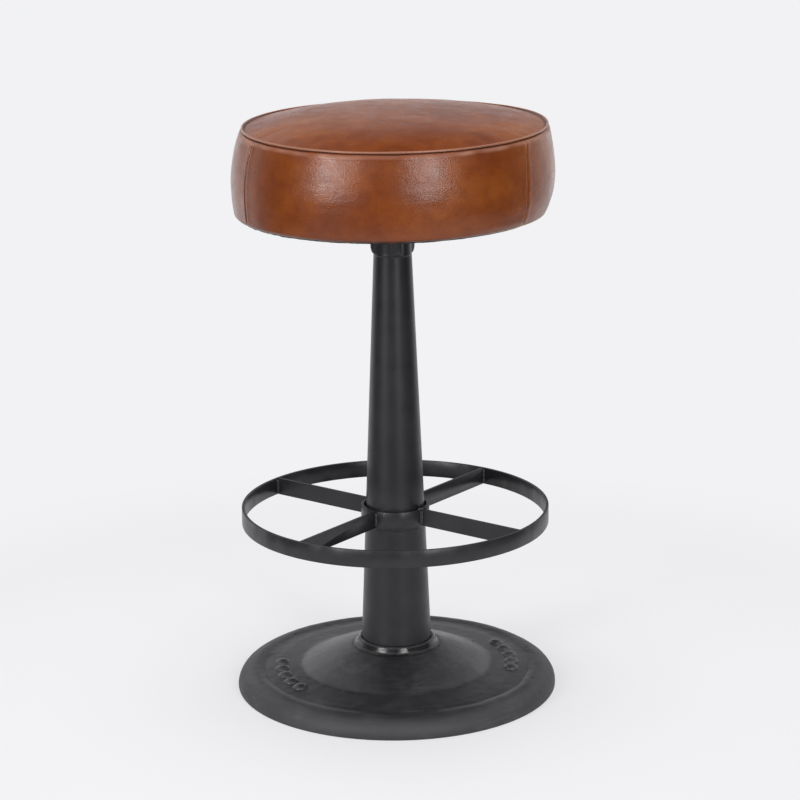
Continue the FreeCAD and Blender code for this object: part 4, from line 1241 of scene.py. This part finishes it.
# %% Room
def make_room():
    """Everything that a direction shows: a dim room in front, a pale backdrop behind."""
    world = bpy.data.worlds.new("studio")
    bpy.context.scene.world = world
    world.use_nodes = True
    tree = world.node_tree
    sky = add_node(tree, "ShaderNodeTexCoord").outputs["Generated"]
    direction = add_node(tree, "ShaderNodeSeparateXYZ", {"Vector": sky})
    right, back, up = (direction.outputs[axis] for axis in "XYZ")
    sideways = between(tree, right, -1.0, 1.0, 0.0, 1.0)
    height = between(tree, up, -0.3, 1.0, 0.0, 1.0)
    backdrop = greys(tree, sideways, [
        (0.05, 0.95), (0.20, 0.70, 0.71), (0.44, 0.90, 0.91), (0.53, 0.85, 0.86), (0.62, 0.56, 0.57),
        (0.78, 0.72, 0.73), (0.95, 1.0)])
    walls = greys(tree, sideways, [
        (0.05, 0.50, 0.51), (0.20, 0.60, 0.61), (0.35, 0.72, 0.73), (0.50, 0.66, 0.67), (0.66, 0.70, 0.71),
        (0.78, 0.60, 0.61), (0.95, 0.30, 0.31)])
    upwards = greys(tree, height, [
        (0.16, 1.0), (0.27, 0.42), (0.36, 0.42), (0.43, 0.27), (0.480, 0.36), (0.515, 0.26), (0.550, 0.03),
        (0.77, 0.03)])
    beside = greys(tree, height, [
        (0.16, 1.0), (0.27, 0.46), (0.43, 0.52), (0.55, 0.80), (0.62, 0.60), (0.85, 0.45)])
    aside = between(tree, sums(tree, right, 0.0, "ABSOLUTE"), 0.12, 0.34, 0.0, 1.0)
    pale = product(tree, mixed(tree, between(tree, up, -0.14, 0.02, 0.0, 1.0), walls, backdrop),
                   mixed(tree, aside, upwards, beside), (1.85, 1.85, 1.88, 1))
    azimuth = sums(tree, right, scaled(tree, back, -1.0), "ARCTAN2")
    round_about = between(tree, azimuth, -math.pi, math.pi, 0.0, 1.0)
    bands = greys(tree, round_about, [
        (0.29, 0.06), (0.365, 0.50, 0.51), (0.43, 0.18, 0.19), (0.50, 0.17, 0.18), (0.562, 0.38, 0.39),
        (0.64, 0.14, 0.15), (0.74, 0.08)])
    glow = greys(tree, round_about, [
        (0.33, 0.0), (0.375, 1.0), (0.44, 0.0), (0.53, 0.0), (0.567, 0.75), (0.605, 0.0)])
    rise = greys(tree, up, [(0.0, 0.5), (0.10, 1.0), (0.32, 1.0), (0.60, 0.0)])
    above = greys(tree, up, [(0.34, 0.0), (0.62, 1.0), (0.95, 0.8)])
    over = greys(tree, round_about, [(0.28, 0.5), (0.38, 1.0), (0.49, 0.40), (0.58, 1.0), (0.70, 0.5)])
    dim = mixed(tree, 1.0, product(tree, above, over, (1.8, 1.8, 1.85, 1)), (0.06, 0.06, 0.063, 1), "ADD")
    dim = mixed(tree, 1.0, dim, product(tree, glow, rise, (3.0, 3.0, 3.15, 1)), "ADD")
    in_front = mixed(tree, between(tree, up, -0.12, 0.02, 1.0, 0.0), dim, bands)
    room = mixed(tree, between(tree, back, 0.15, 0.55, 0.0, 1.0), in_front, pale)
    path = add_node(tree, "ShaderNodeLightPath").outputs
    with_gloss = mixed(tree, path["Is Glossy Ray"], (0.30, 0.30, 0.31, 1), room)
    plain = sums(tree, path["Is Camera Ray"], path["Is Transmission Ray"], "MAXIMUM")
    tree.links.new(mixed(tree, plain, with_gloss, BACKDROP), tree.nodes["Background"].inputs["Color"])


make_room()
bpy.context.scene.view_settings.view_transform = "Standard"
print("room of", len(bpy.context.scene.world.node_tree.nodes), "nodes")

# %% [markdown]
# The camera stands where the photograph was taken from: about three metres in front, a little
# above the seat, looking down by fifteen degrees through a long lens.

# %% Camera
PITCH = math.radians(15.279)
ROLL = -0.0097477
YAW = 0.00219104
lens = bpy.data.cameras.new("camera")
lens.sensor_width = 36.0
lens.lens = 125.14
lens.clip_end = 60.0
camera = show("camera", lens)
camera.matrix_world = (
    Matrix.Translation((0.0, -2.9601, 1.13895))
    @ Matrix.Rotation(-YAW, 4, "Z")
    @ Matrix.Rotation(math.pi / 2 - PITCH, 4, "X")
    @ Matrix.Rotation(ROLL, 4, "Z"))
bpy.context.scene.camera = camera
print("lens of", round(lens.lens, 2), "mm")
